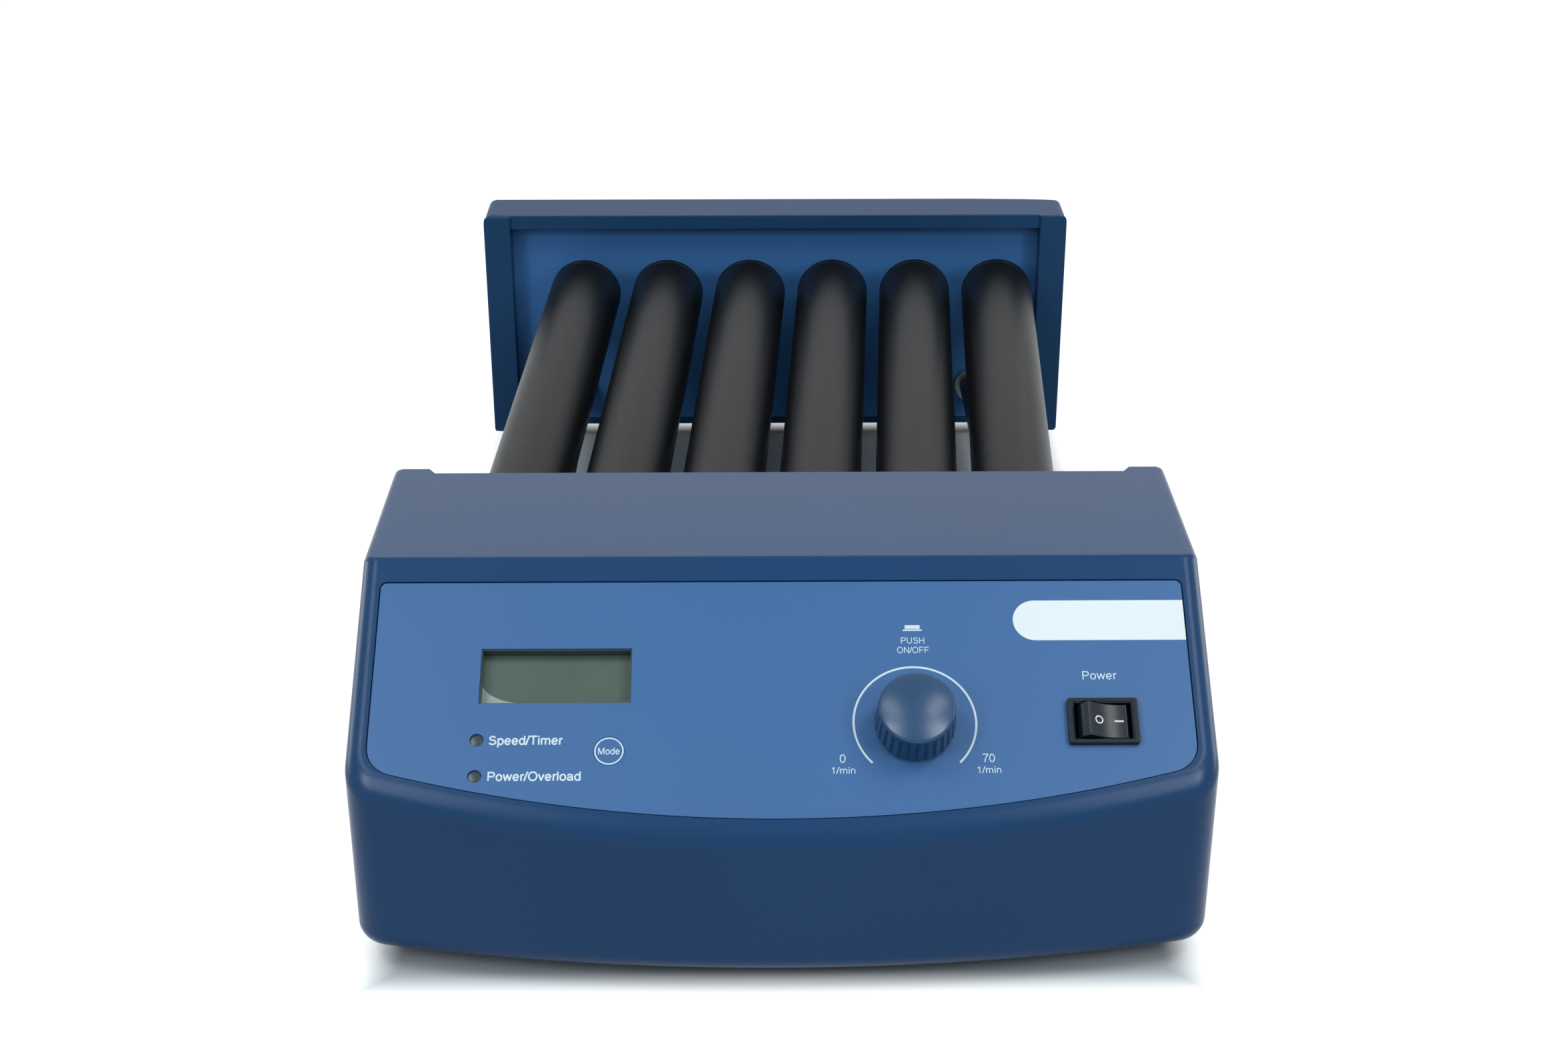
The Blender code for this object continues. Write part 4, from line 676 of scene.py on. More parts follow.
def inlet_outline(width, height):
    """The inlet's shape seen from outside: X to the rear, Y up, its two upper corners cut."""
    half_width = width / 2
    half_height = height / 2
    shoulder = half_height - INLET_CHAMFER
    return [
        (-half_width, -half_height), (half_width, -half_height), (half_width, shoulder),
        (half_width - INLET_CHAMFER, half_height), (INLET_CHAMFER - half_width, half_height),
        (-half_width, shoulder),
    ]


def inlet_place(inward):
    """The frame of the inlet, a distance in from the right side wall's outer face."""
    place = (WIDTH / 2 - inward, Y_RIM - INLET_BACK, FOOT_HEIGHT + INLET_UP)
    return Matrix.Translation(place) @ FACING_RIGHT


def build_front_housing():
    """The front shell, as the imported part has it, with finer curves."""
    back = Y_RIM - PILLAR_DEPTH
    outer = rounded(front_solid(0, FOOT_HEIGHT, Y_RIM), front_edge_radius, FILLET_STEPS)
    opening, notch = rim_cutters(Y_RIM, -1, FRONT_LIP)
    sole_opening = prism(front_base_outline(LEDGE_WIDTH, back), LEDGE_HEIGHT + 2 * OVERRUN)
    moved(sole_opening, lifted(FOOT_HEIGHT - OVERRUN))
    recess = prism(overlay_outline(OVERLAY_LINE), OVERLAY_RECESS + OVERRUN)
    moved(recess, SLOPE @ lifted(-OVERLAY_RECESS))
    holes = gathered([prism(hole, WALL + 2 * OVERRUN) for hole in control_holes()])
    moved(holes, SLOPE @ lifted(-WALL - OVERRUN))
    inlet_shape = inlet_outline(*[size + 2 * GAP for size in INLET])
    inlet = moved(prism(inlet_shape, WALL + 2 * OVERRUN), inlet_place(WALL + OVERRUN))
    cavity = front_solid(WALL, FOOT_HEIGHT + LEDGE_HEIGHT, back)
    cutters = (cavity, sole_opening, opening, notch, recess, holes, inlet)
    add("front_shell", less(outer, *cutters), "housing_blue", replaces=["front_housing"])


def build_rear_housing():
    """The rear shell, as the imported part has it, with finer curves."""
    outer = block((-WIDTH / 2, Y_REAR_RIM, FOOT_HEIGHT), (WIDTH / 2, Y_BACK, HEIGHT))
    outer = rounded(outer, rear_edge_radius, FILLET_STEPS)
    opening, notch = rim_cutters(Y_REAR_RIM, 1, REAR_LIP)
    cavity = block(
        (WALL - WIDTH / 2, Y_REAR_RIM + PILLAR_DEPTH, FOOT_HEIGHT - OVERRUN),
        (WIDTH / 2 - WALL, Y_BACK - WALL, HEIGHT - WALL),
    )
    add("rear_shell", less(outer, cavity, opening, notch), "housing_blue", replaces=["rear_housing"],
        material=REAR_FINISH)


def build_panels():
    """The blue panels behind the rims, and the barrels of the bearing bars that show through them."""
    for side, rear in (("front", False), ("rear", True)):
        low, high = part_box(side + "_panel")
        ledge_width, ledge_height = (0, 0) if rear else (7 * MM, 5 * MM)
        step = low.z + ledge_height
        outline = [(high.x, high.z), (low.x, high.z), (low.x, step)]
        if ledge_width:
            outline += [(low.x + ledge_width, step), (low.x + ledge_width, low.z)]
            outline += [(high.x - ledge_width, low.z), (high.x - ledge_width, step)]
        outline.append((high.x, step))
        holes = [circle(BARREL_RADIUS + GAP, SMALL, (x, Z_AXIS)) for x in ROLLER_XS]
        holes += [circle(ROD_HOLE, SMALL, (x, Z_ROD)) for x in (-ROD_X, ROD_X)]
        panel = prism(outline, high.y - low.y, holes)
        place = Matrix.Translation((0, high.y, 0)) @ FACING_FRONT
        add(side + "_inner_panel", panel, "panel_blue", replaces=[side + "_panel"], matrix=place)
        face = low.y if rear else high.y
        turn = Matrix.Rotation(math.pi / 2 if rear else -math.pi / 2, 4, "X")
        profile = in_mm(
            (3.35, -2.9), (6.7, -2.9), (6.7, 1), (6.5, 1.35), (6.2, 1.5), (3.6, 1.5), (3.35, 1.2)
        )
        collars = [
            moved(turned(profile, SMALL), Matrix.Translation((x, face, Z_AXIS)) @ turn) for x in ROLLER_XS
        ]
        add(side + "_collars", gathered(collars), "bearing_plastic")


def build_tie_rods():
    """The two rods under the rollers, and the bright washer at each end."""
    main = RIM_GAP / 2 + ROD_REACH - WASHER_THICKNESS - 2 * GAP
    edge = 0.5 * MM
    profile = [
        (0, -main), (ROD_RADIUS - edge, -main), (ROD_RADIUS, edge - main), (ROD_RADIUS, main - edge),
        (ROD_RADIUS - edge, main), (0, main),
    ]
    ring = in_mm((4.3, 0), (8.5, 0), (8.5, 1.35), (8.35, 1.65), (8.1, 1.8), (4.7, 1.8), (4.3, 1.4))
    reach = main + GAP + WASHER_THICKNESS
    for side, x in (("left", -ROD_X), ("right", ROD_X)):
        middle = Matrix.Translation((x, Y_MIDDLE, Z_ROD)) @ FACING_FRONT
        rod_piece = turned(profile, FINE)
        add("rod_" + side, rod_piece, "rod_steel", replaces=["tie_rod_" + side], matrix=middle)
        ends = (("front", middle @ lifted(reach) @ TURNED_OVER), ("rear", middle @ lifted(-reach)))
        for end, place in ends:
            name = end + "_" + side
            washer = turned(ring, FINE)
            add("washer_" + name, washer, "steel", replaces=["rod_washer_" + name], matrix=place)


def roller_tilt():
    """Turns a roller's own axis away from its axis of rotation, high and right at the rear end."""
    away = math.pi + ROLLER_PHASE
    lean = math.sin(ROLLER_TILT)
    axis = Vector((lean * math.cos(away), lean * math.sin(away), math.cos(ROLLER_TILT)))
    return Vector((0, 0, 1)).rotation_difference(axis).to_matrix().to_4x4()


def build_rollers():
    """Six rollers, each a sleeve between two caps, with a stub shaft off centre at each end."""
    tilt = roller_tilt()
    cap_start = HALF_ROLLER - CAP_THICKNESS
    sleeve_end = cap_start - 0.12 * MM
    soft = 0.35 * MM
    inner = 13.8 * MM
    sleeve_profile = [(inner, -sleeve_end)]
    for centre, start, end in ((soft - sleeve_end, -math.pi / 2, 0), (sleeve_end - soft, 0, math.pi / 2)):
        sleeve_profile += arc((ROLLER_RADIUS - soft, centre), soft, start, end, 4)
    sleeve_profile.append((inner, sleeve_end))
    edge = 0.8 * MM
    spigot = inner - 0.3 * MM
    hollow = HALF_ROLLER - 0.4 * MM
    cap_profile = [
        (0, cap_start - 6 * MM), (spigot, cap_start - 6 * MM), (spigot, cap_start),
        (ROLLER_RADIUS - 0.25 * MM, cap_start), (ROLLER_RADIUS, cap_start + 0.25 * MM),
        *arc((ROLLER_RADIUS - edge, HALF_ROLLER - edge), edge, 0, math.pi / 2, 6),
        (8 * MM, HALF_ROLLER), (7.6 * MM, hollow), (0, hollow),
    ]
    inside = cap_start / math.cos(ROLLER_TILT)
    for index, x in enumerate(ROLLER_XS, start=1):
        middle = Matrix.Translation((x, Y_MIDDLE, Z_AXIS)) @ FACING_FRONT
        body = f"roller_{index}"
        sleeve = turned(sleeve_profile, ROLLER_SEGMENTS)
        place = middle @ tilt @ Matrix.Rotation(index * 1.3, 4, "Z")
        add(f"sleeve_{index}", sleeve, "roller_rubber", body, [f"roller_sleeve_{index}"], place)
        ends = [moved(turned(cap_profile, ROLLER_SEGMENTS), turn) for turn in (tilt, tilt @ TURNED_OVER)]
        ends.append(rod(STUB_RADIUS, inside, RIM_GAP / 2 + STUB_FRONT))
        ends.append(rod(STUB_RADIUS, -RIM_GAP / 2 - STUB_REAR, -inside))
        add(f"caps_{index}", gathered(ends), "roller_core", body, [f"roller_core_{index}"], middle)


def build_overlay():
    """The light blue overlay in its recess."""
    overlay = prism(overlay_outline(0), OVERLAY_THICKNESS, control_holes())
    place = SLOPE @ lifted(-OVERLAY_SINK - OVERLAY_THICKNESS)
    add("overlay_film", overlay, "overlay_blue", replaces=["control_overlay"], matrix=place)


def build_display():
    """The display: the glass, a dark liner round it, and the plates that show at its round corners, the
    right one with painted shade.
    """
    x, down, width, height = DISPLAY
    floor = DISPLAY_TOP - 1.3 * MM
    liner = prism(window(-0.04 * MM), -floor - 0.92 * MM, [window(-0.4 * MM)])
    add("display_liner", liner, "bearing_plastic", matrix=SLOPE @ lifted(floor), material=LINER)
    glass = softened(prism(window(1.6 * MM), 0.2 * MM), 0.05 * MM)
    add("display_pane", glass, "display_glass", replaces=["display_glass"],
        matrix=SLOPE @ lifted(floor - 0.2 * MM))
    low = -down - height / 2 + 1.95 * MM
    # The left plate has the backing's own colour; the right plate has a darker copy of it, which is painted
    # shade.
    for side, sign, finish, reach in (("left", -1, DISPLAY_BACK, 1), ("right", 1, DISPLAY_SHADE, 0.4)):
        edge = x + sign * (width / 2 + 0.1 * MM)
        beyond = edge + sign * MM
        below = low - 2 * MM
        corner = [
            (edge - sign * reach * 13.7 * MM * (1 - turn_y), low + reach * 8 * MM * (1 - turn_x))
            for turn_x, turn_y in arc((0, 0), 1, 0, math.pi / 2, 24)
        ]
        corner += [(beyond, corner[-1][1]), (beyond, below), (corner[0][0], below)]
        add("display_plate_" + side, prism(corner, 0.02 * MM), "display_glass", material=finish,
            matrix=SLOPE @ lifted(floor + 0.01 * MM))


def build_lamps():
    """Two signal lamps with domed lenses, just under the overlay."""
    ball = 9 * MM
    radius = LAMP_RADIUS + 0.22 * MM
    lean = math.asin(radius / ball)
    dome = arc((0, -0.62 * MM - ball), ball, math.pi / 2 - lean, math.pi / 2, 8)
    profile = in_mm((0, -12), (2.35, -12), (2.35, -11))
    profile += [(radius, -11 * MM), *dome[:-1], (0, dome[-1][1])]
    for name, down in LAMP_DOWNS.items():
        place = on_slope(LAMP_X, down)
        add(name + "_lens", turned(profile, SMALL), "lamp_lens", replaces=[name], matrix=place)


def build_mode_button():
    """The push button, a disc level with the overlay."""
    radius = 4.72 * MM
    edge = 0.12 * MM
    profile = in_mm((0, -8.2), (1.5, -8.2), (1.5, -4.1), (5.9, -4.1), (5.9, -3.3))
    profile += [(radius, -3.3 * MM), (radius, -OVERLAY_SINK - edge), (radius - edge, -OVERLAY_SINK)]
    disc = turned(profile + [(0, -OVERLAY_SINK)], FINE)
    add("mode_disc", disc, "overlay_blue", "mode_button", ["mode_button"], on_slope(*MODE))


def build_knob():
    """The knob: a fluted skirt under a smooth dome."""
    per_flute = 12
    steps = KNOB_FLUTES * per_flute
    levels = [(1.0, 12.25, 0.0), (1.15, 12.45, 0.6), (1.5, 12.5, 1.0), (6.0, 12.2, 1.0), (10.6, 11.95, 1.0)]
    levels += [(11.1, 11.9, 0.85), (11.5, 11.87, 0.55), (11.8, 11.83, 0.2), (12.1, 11.78, 0.0)]
    dome_start, edge_radius, edge = 12.1, 11.78, 1.5
    slope = 24 * DEGREE
    for step in range(1, 9):
        angle = (math.pi / 2 - slope) * step / 8
        radius = edge_radius - edge * (1 - math.cos(angle))
        levels.append((dome_start + edge * math.sin(angle), radius, 0.0))
    crown_start, crown_radius, crown_depth = levels[-1]
    ball = crown_radius / math.sin(slope)
    for step in range(1, 12):
        angle = slope * (1 - step / 12)
        rise = ball * (math.cos(angle) - math.cos(slope))
        levels.append((crown_start + rise, ball * math.sin(angle), crown_depth))
    loops = []
    for z, radius, depth in levels:
        ring = []
        for step in range(steps):
            share = step % per_flute / per_flute
            dip = max(0.0, 1 - abs(share - 0.5) / 0.24)
            cut = 0.62 * depth * dip ** 0.6
            angle = 2 * math.pi * (step - per_flute / 2) / steps
            reach = (radius - cut) * MM
            ring.append((reach * math.cos(angle), reach * math.sin(angle), z * MM))
        loops.append(ring)
    bm = lofted(loops)
    crown = loops[-1][0][2]
    apex = [face for face in bm.faces if all(abs(vert.co.z - crown) < WELD for vert in face.verts)]
    for vert in bmesh.ops.poke(bm, faces=apex)["verts"]:
        vert.co.z = (levels[-1][0] + 0.01) * MM
    hollow = in_mm((0, 0), (10, 0), (10, 9.6), (5.25, 9.6), (5.25, 5), (3.15, 5), (3.15, 12.2), (0, 12.2))
    add("knob_cap", less(bm, turned(hollow, SMALL)), "housing_blue", "speed_knob", ["speed_knob"],
        on_slope(*KNOB), material=KNOB_FINISH)


def build_rocker_switch():
    """The rocker switch: its bezel and cup, the dished paddle, and the two marks on the paddle."""
    place = on_slope(*ROCKER)
    half_width, half_height = ROCKER_HALF
    loops = []
    for grow, z in ((0, 0), (0, 1.35), (-0.08, 1.6), (-0.25, 1.75), (-0.45, 1.8)):
        outline = round_rectangle((21.8 + 2 * grow) * MM, (15.2 + 2 * grow) * MM, (0.9 + grow) * MM)
        loops.append([(x, y, z * MM) for x, y in outline])
    body = block((-half_width, -half_height, -12 * MM), (half_width, half_height, 0.5 * MM))
    hollow_width = half_width - 0.7 * MM
    hollow_height = half_height - 0.7 * MM
    hollow = block((-hollow_width, -hollow_height, -10.5 * MM), (hollow_width, hollow_height, 3 * MM))
    lead = []
    for grow, z in ((0, 1.3 * MM), (0.75 * MM, 1.95 * MM)):
        across, along = hollow_width + grow, hollow_height + grow
        lead.append([(x, y, z) for x, y in rectangle(-across, across, -along, along)])
    steps = [("UNION", lofted(loops)), ("DIFFERENCE", hollow), ("DIFFERENCE", lofted(lead))]
    add("rocker_bezel", combined(body, steps), "switch_black", replaces=["rocker_frame"], matrix=place)

    right = arc((0, 0), 8.5 * MM, -8 * DEGREE, 44 * DEGREE, 14)
    tip_x, tip_z = right[-1]
    dish = 1.1 * MM

    def top_height(x):
        """How high the dished top lies at a place across the paddle."""
        return tip_z - dish * (1 - (x / tip_x) ** 2)

    places = [tip_x * (1 - step / 14) for step in range(1, 28)]
    top = [(x, top_height(x)) for x in places]
    left = [(-x, z) for x, z in reversed(right)]
    paddle = prism(right + top + left + in_mm((-3, -4), (3, -4)), 11.2 * MM)
    moved(paddle, FACING_FRONT @ lifted(-5.6 * MM))
    paddle = softened(paddle, 0.3 * MM)
    axle = moved(rod(1.2 * MM, -6.2 * MM, 6.2 * MM), FACING_FRONT)
    tilted = place @ lifted(-3.5 * MM) @ Matrix.Rotation(14 * DEGREE, 4, "Y")
    add("rocker_key", gathered([paddle, axle]), "switch_black", "rocker_paddle", ["rocker_paddle"],
        tilted, material=PADDLE_FINISH)

    marks = bmesh.new()
    rings = [circle(radius, SMALL, (-2.7 * MM, 0)) for radius in (0.95 * MM, 1.38 * MM)]
    inner, outer = [[marks.verts.new((x, y, 0)) for x, y in ring] for ring in rings]
    for index in range(SMALL):
        after = (index + 1) % SMALL
        marks.faces.new((inner[index], outer[index], outer[after], inner[after]))
    columns = 8
    for step in range(columns):
        start, end = [(2.3 + 2.8 * (step + side) / columns) * MM for side in (0, 1)]
        dash = rectangle(start, end, -0.26 * MM, 0.26 * MM)
        marks.faces.new([marks.verts.new((x, y, 0)) for x, y in dash])
    bmesh.ops.remove_doubles(marks, verts=marks.verts, dist=WELD)
    raised = bmesh.ops.extrude_face_region(marks, geom=list(marks.faces))
    top_verts = {item for item in raised["geom"] if isinstance(item, bmesh.types.BMVert)}
    for vert in marks.verts:
        vert.co.z = top_height(vert.co.x) + (0.03 * MM if vert in top_verts else -0.04 * MM)
    bmesh.ops.recalc_face_normals(marks, faces=marks.faces)
    add("rocker_marks", marks, "switch_black", "rocker_paddle", matrix=tilted, material=MARKS)


def letter_faces(letter, weight):
    """One letter's flat triangles: its strokes' pieces laid over each other and joined into one area."""
    points, pieces = [], []

    def piece(corners):
        """Take in one convex piece of a stroke, its corners in leftward order."""
        pieces.append(list(range(len(points), len(points) + len(corners))))
        points.extend(Vector(corner) for corner in corners)

    for stroke in LETTERS[letter][1]:
        path = []
        for item in stroke:
            if len(item) == 2:
                path.append(Vector(item))
                continue
            mid_x, mid_y, wide, high, start, end = item
            steps = max(4, round(abs(end - start) / 15))
            for step in range(steps + 1):
                angle = (start + (end - start) * step / steps) * DEGREE
                path.append(Vector((mid_x + wide * math.cos(angle), mid_y + high * math.sin(angle))))
        for here, there in zip(path, path[1:]):
            along = there - here
            if along.length > 1:
                aside = Vector((along.y, -along.x)).normalized() * (weight / 2)
                piece([here + aside, there + aside, there - aside, here - aside])
        for joint in path[1:-1]:
            piece([(joint.x + x, joint.y + y) for x, y in circle(weight / 2, 8)])

    def covered(face):
        """Whether the middle of a triangle lies in one of the pieces."""
        middle = sum((verts[index] for index in face), Vector((0, 0))) / 3
        for corners in pieces:
            ring = [points[index] for index in corners]
            sides = zip(ring, ring[1:] + ring[:1])
            if all((there - here).cross(middle - here) >= 0 for here, there in sides):
                return True
        return False

    verts, _, faces = delaunay_2d_cdt(points, [], pieces, 0, 0.01)[:3]
    return verts, [face for face in faces if covered(face)]


def lettering(text, weight, x, down, width, height):
    """Words in the slope's frame, centred at a place and fitted to a width and a height of capitals."""
    verts, faces = [], []
    pen = 0
    for letter in text:
        letter_verts, triangles = letter_faces(letter, weight)
        faces += [[index + len(verts) for index in face] for face in triangles]
        verts += [(vert.x + pen, vert.y) for vert in letter_verts]
        pen += LETTERS[letter][0]
    used = sorted({index for face in faces for index in face})
    left = min(verts[index][0] for index in used)
    right = max(verts[index][0] for index in used)
    bm = bmesh.new()
    low, top = {}, {}
    for index in used:
        place_x = (verts[index][0] - (left + right) / 2) * width / (right - left) + x
        place_y = (verts[index][1] - CAPITAL / 2) * height / CAPITAL - down
        low[index] = bm.verts.new((place_x, place_y, 0))
        top[index] = bm.verts.new((place_x, place_y, PRINT_THICKNESS))
    sides = {(face[step - 1], face[step]) for face in faces for step in range(3)}
    for face in faces:
        bm.faces.new([top[index] for index in face])
        bm.faces.new([low[index] for index in reversed(face)])
    for here, there in sides:
        if (there, here) not in sides:
            bm.faces.new((low[here], low[there], top[there], top[here]))
    return bm


def build_print():
    """The white print on the overlay: words, the dial's arc, the push sign and the bare white field."""
    words = [
        ("PUSH", THIN_PRINT, 41.0, 29.8, 7.3, 2.2), ("ON/OFF", THIN_PRINT, 41.0, 33.1, 9.9, 2.15),
        ("0", THIN_PRINT, 18.3, 69.8, 1.8, 2.8), ("1/min", THIN_PRINT, 18.5, 73.7, 7.2, 2.15),
        ("70", THIN_PRINT, 62.9, 69.8, 3.7, 2.8), ("1/min", THIN_PRINT, 62.9, 73.7, 7.2, 2.15),
        ("Power", THIN_PRINT, 98.7, 42.1, 10.6, 2.85),
        ("Speed/Timer", BOLD_PRINT, -78.5, 63.3, 22.6, 2.95),
        ("Power/Overload", BOLD_PRINT, -75.45, 75.2, 28.3, 2.95),
    ]
    solids = [lettering(text, weight, *[size * MM for size in sizes]) for text, weight, *sizes in words]
    centre = (40.75 * MM, -57.95 * MM)
    dial = arc(centre, 18.55 * MM, -45 * DEGREE, 225 * DEGREE, 90)
    dial += reversed(arc(centre, 19.2 * MM, -45 * DEGREE, 225 * DEGREE, 90))
    solids.append(prism(dial, PRINT_THICKNESS))
    for sides in ((38.65, 43.35, -25.75, -24.45), (38.05, 43.95, -26.45, -25.95)):
        solids.append(prism(in_mm(*rectangle(*sides)), PRINT_THICKNESS))
    surface = SLOPE @ lifted(PRINT_LIFT)
    add("face_print", gathered(solids), "overlay_blue", matrix=surface, material=PRINT, weighted=False)

    middle = (79.8 * MM, -22.9 * MM)
    pill = arc(middle, 7 * MM, 90 * DEGREE, 270 * DEGREE, 32)
    pill += in_mm((126.85, -29.9), (126.85, -15.9))
    add("white_field", prism(pill, PRINT_THICKNESS), "overlay_blue", matrix=surface, material=PILL,
        weighted=False)

    name = lettering("Mode", MODE_PRINT, 0, 0, 6.6 * MM, 2.2 * MM)
    ring = prism(circle(MODE_RADIUS, FINE), PRINT_THICKNESS, [circle(4.07 * MM, FINE)])
    add("mode_print", gathered([name, ring]), "overlay_blue", "mode_button",
        matrix=on_slope(*MODE, PRINT_LIFT), material=PRINT, weighted=False)


def build_inlet():
    """The mains inlet: its rounded rim in the side wall, the socket and the contacts."""
    place = inlet_place(23.3 * MM)
    rim = 23 * MM
    sleeve = prism(inlet_outline(*INLET), rim)
    flange = block(*in_mm((-20, -12, 17.5), (20, 12, 20)))
    socket = moved(prism(inlet_outline(24.5 * MM, 16.5 * MM), 18 * MM), lifted(6 * MM))
    inlet = combined(sleeve, [("UNION", flange), ("DIFFERENCE", socket)])

    def rim_radius(edge):
        """The outer rim's edges are rounded."""
        return 0.4 * MM if edge_lies(edge, 2, rim) and edge.calc_face_angle(0) > SHADE_ANGLE else 0

    inlet = rounded(inlet, rim_radius, 3)
    add("inlet_socket", inlet, "switch_black", replaces=["power_inlet"], matrix=place)
    blades = [
        softened(block(*in_mm((x - 1, y - 2, 5), (x + 1, y + 2, 18))), 0.5 * MM)
        for x, y in ((-7, -2), (0, 2), (7, -2))
    ]
    add("inlet_blades", gathered(blades), "contact_brass", replaces=["inlet_contacts"], matrix=place,
        material=MATERIALS["steel"])


def build_feet_and_screws():
    """Rubber feet with rounded edges, and the cross-head screws that hold the bases."""
    soft = 1.2 * MM
    profile = in_mm((0, 0.3), (3.4, 0.3), (3.9, 0))
    profile += arc((6.4 * MM - soft, soft), soft, -math.pi / 2, -0.1, 6)
    profile += in_mm((7, 6), (6.8, 6.3), (2.5, 6.3), (2.5, 9.2), (0, 9.2))
    for name in ("front_left", "front_right", "rear_left", "rear_right"):
        low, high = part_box("foot_" + name)
        place = Matrix.Translation(((low.x + high.x) / 2, (low.y + high.y) / 2, 0))
        add("rubber_" + name, turned(profile, FINE), "foot_rubber", replaces=["foot_" + name], matrix=place)
    places = [(x, y) for x in (-84, 84) for y in (-205, -104)] + [(-55, 220), (55, 220)]
    heads = []
    for x, y in places:
        head = turned(in_mm((0, -0.2), (3, -0.2), (3, 0.5), (2.6, 1.1), (1.6, 1.5), (0, 1.6)), SMALL)
        slots = [block(*in_mm((-a, -b, 0.7), (a, b, 2))) for a, b in ((1.8, 0.3), (0.3, 1.8))]
        place = Matrix.Translation((x * MM, y * MM, FOOT_HEIGHT)) @ TURNED_OVER
        spin = Matrix.Rotation(x * 0.07 + y * 0.03, 4, "Z")
        heads.append(moved(less(head, *slots), place @ spin))
    add("base_screws", gathered(heads), "zinc_plate")


# Stage

def calculated(tree, operation, *sources):
    """What a math node makes of one or two sockets."""
    made = tree.nodes.new("ShaderNodeMath")
    made.operation = operation
    for source, socket in zip(sources, made.inputs):
        tree.links.new(source, socket)
    return made.outputs[0]


def show_other(tree, lit, shown, output):
    """Gives the output one shader for light, and another for the camera, reflections and glass."""
    rays = tree.nodes.new("ShaderNodeLightPath").outputs
    seen = calculated(tree, "MAXIMUM", rays["Is Camera Ray"], rays["Is Glossy Ray"])
    seen = calculated(tree, "MAXIMUM", seen, rays["Is Transmission Ray"])
    mixed = tree.nodes.new("ShaderNodeMixShader")
    for source, socket in zip((seen, lit.outputs[0], shown.outputs[0]), mixed.inputs):
        tree.links.new(source, socket)
    tree.links.new(mixed.outputs[0], tree.nodes[output].inputs["Surface"])


def floor_glow_with_painted_shade(tree):
    """The level that the floor glows with outside the mixer's footprint, softly lost inside it to paint
    shade under the mixer.
    """
    place = tree.nodes.new("ShaderNodeTexCoord")
    parts = tree.nodes.new("ShaderNodeSeparateXYZ")
    tree.links.new(place.outputs["Object"], parts.inputs["Vector"])
    shares = []
    for axis, half in (("X", WIDTH / 2), ("Y", Y_BACK)):
        share = node(tree, "ShaderNodeMapRange", From_Min=half - 14 * MM, From_Max=half + 4 * MM,
                     To_Max=FLOOR_GLOW)
        share.interpolation_type = "SMOOTHSTEP"
        tree.links.new(calculated(tree, "ABSOLUTE", parts.outputs[axis]), share.inputs["Value"])
        shares.append(share.outputs["Result"])
    return calculated(tree, "MAXIMUM", *shares)


def build_floor():
    """A pale floor, white to the camera and in reflections, a little darker under the mixer: painted shade,
    as its glow is taken away there.
    """
    material = bpy.data.materials.new("floor")
    material.use_nodes = True
    tree = material.node_tree
    shader = tree.nodes["Principled BSDF"]
    shader.inputs["Base Color"].default_value = (0.46, 0.51, 0.53, 1)
    shader.inputs["Roughness"].default_value = 0.9
    shader.inputs["Specular IOR Level"].default_value = 0.0
    glow = tree.nodes.new("ShaderNodeEmission")
    # The glow fades out in the mixer's footprint, which paints shade under the mixer.
    tree.links.new(floor_glow_with_painted_shade(tree), glow.inputs["Strength"])
    added = tree.nodes.new("ShaderNodeAddShader")
    tree.links.new(shader.outputs[0], added.inputs[0])
    tree.links.new(glow.outputs[0], added.inputs[1])
    show_other(tree, shader, added, "Material Output")
    mesh = bpy.data.meshes.new("floor")
    reach = 12
    mesh.from_pydata([(x, y, 0) for x, y in rectangle(-reach, reach, -reach, reach)], [], [(0, 1, 2, 3)])
    mesh.materials.append(material)
    floor = linked("floor", mesh)


def build_world():
    """A pale even world: white where it is seen or reflected, and a plain level where it lights."""
    world = bpy.data.worlds.new("world")
    world.use_nodes = True
    bpy.context.scene.world = world
    tree = world.node_tree
    background = tree.nodes["Background"]
    background.inputs["Color"].default_value = (0.97, 0.985, 1.0, 1)
    background.inputs["Strength"].default_value = WORLD_LEVEL
    white = node(tree, "ShaderNodeBackground", Color=(1, 1, 1, 1), Strength=1.0)
    show_other(tree, background, white, "World Output")


def softbox(name, place, target, width, height, radiance):
    """A large soft lamp of a given brightness, aimed at a point."""
    light = bpy.data.lights.new(name, "AREA")
    light.shape = "RECTANGLE"
    light.size = width
    light.size_y = height
    light.energy = radiance * math.pi * width * height
    light.color = (0.96, 1.0, 1.02)
    lamp = linked(name, light)
    lamp.location = place
    lamp.rotation_mode = "QUATERNION"
    lamp.rotation_quaternion = (Vector(target) - Vector(place)).to_track_quat("-Z", "Y")
    lamp.visible_camera = False
    return lamp


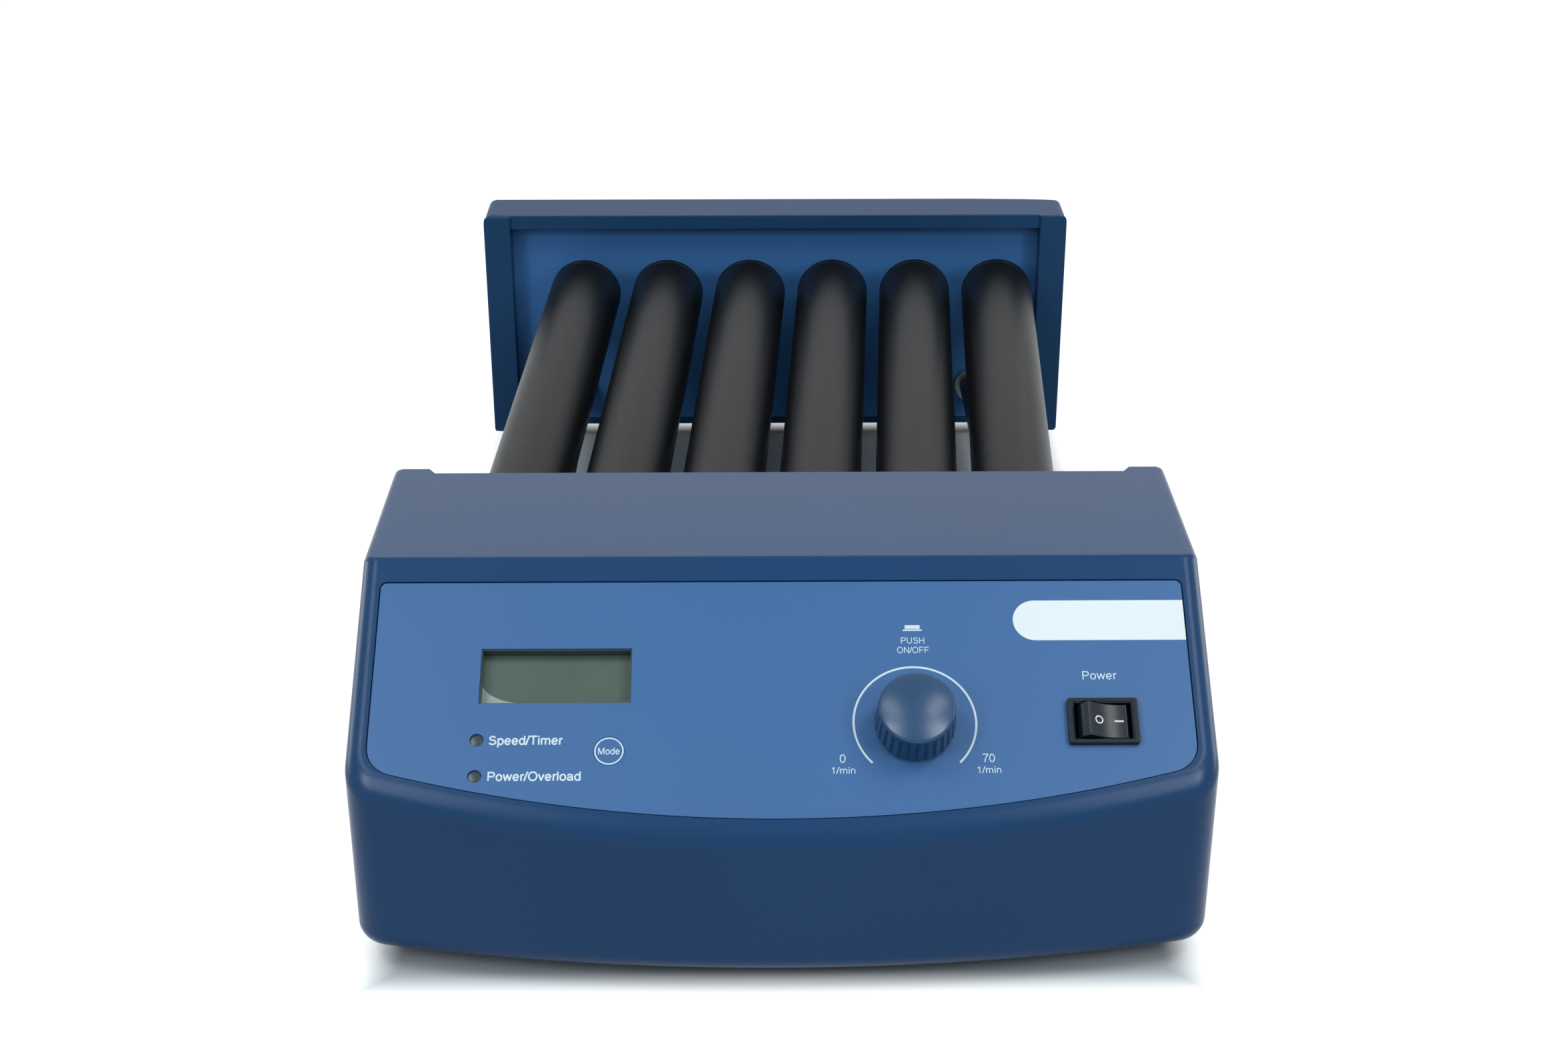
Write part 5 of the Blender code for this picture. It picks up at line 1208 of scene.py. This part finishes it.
def build_camera():
    """The photograph's view, fitted to the object's edges."""
    camera = bpy.data.cameras.new("camera")
    camera.lens = 53.2
    camera.sensor_width = 36
    camera.clip_start = 0.01
    seat = linked("camera", camera)
    yaw, dip = -0.49 * DEGREE, 25.16 * DEGREE
    forward = Vector((-math.sin(yaw) * math.cos(dip), math.cos(yaw) * math.cos(dip), -math.sin(dip)))
    seat.location = (-4.78 * MM, -818.7 * MM, 438.1 * MM)
    seat.rotation_mode = "QUATERNION"
    seat.rotation_quaternion = forward.to_track_quat("-Z", "Y")
    bpy.context.scene.camera = seat


build_camera()
build_front_housing()
build_rear_housing()
build_panels()
build_tie_rods()
build_rollers()
build_overlay()
build_display()
build_lamps()
build_mode_button()
build_knob()
build_rocker_switch()
build_print()
build_inlet()
build_feet_and_screws()

for part in frame["record"]["subparts"]:
    solid = frame["nodes"][part["node"]]
    for slot in solid.material_slots:
        slot.material = MATERIALS[part["material_slot"]]

build_floor()
build_world()
softbox("left bank", (-0.66, -0.45, 1.3), (0, -0.15, 0.05), 0.8, 0.34, 6.0)
softbox("right bank", (0.66, -0.45, 1.3), (0, -0.15, 0.05), 0.8, 0.34, 6.8)
softbox("left box", (-0.9, -1.0, 0.82), (0, -0.05, 0.05), 0.26, 0.5, 10.5)
softbox("right box", (0.9, -1.0, 0.82), (0, -0.05, 0.05), 0.26, 0.5, 10.5)
cards = [
    softbox("back card", (0, 1.7, 1.12), (0, 0, 0.05), 2.4, 0.8, 0.82),
    softbox("left strip", (-0.68, -1.15, 0.8), (-0.11, -0.21, 0.05), 0.46, 0.8, 6.5),
    softbox("right strip", (0.68, -1.15, 0.8), (0.11, -0.21, 0.05), 0.46, 0.8, 6.5),
    softbox("left card", (-1.3, 0.36, 0.26), (-0.13, -0.2, 0.08), 1.0, 0.5, 3.6),
    softbox("right card", (1.3, 0.36, 0.26), (0.13, -0.2, 0.08), 1.0, 0.5, 3.6),
]
for card in cards:
    card.visible_diffuse = False

bpy.context.scene.view_settings.view_transform = "Standard"
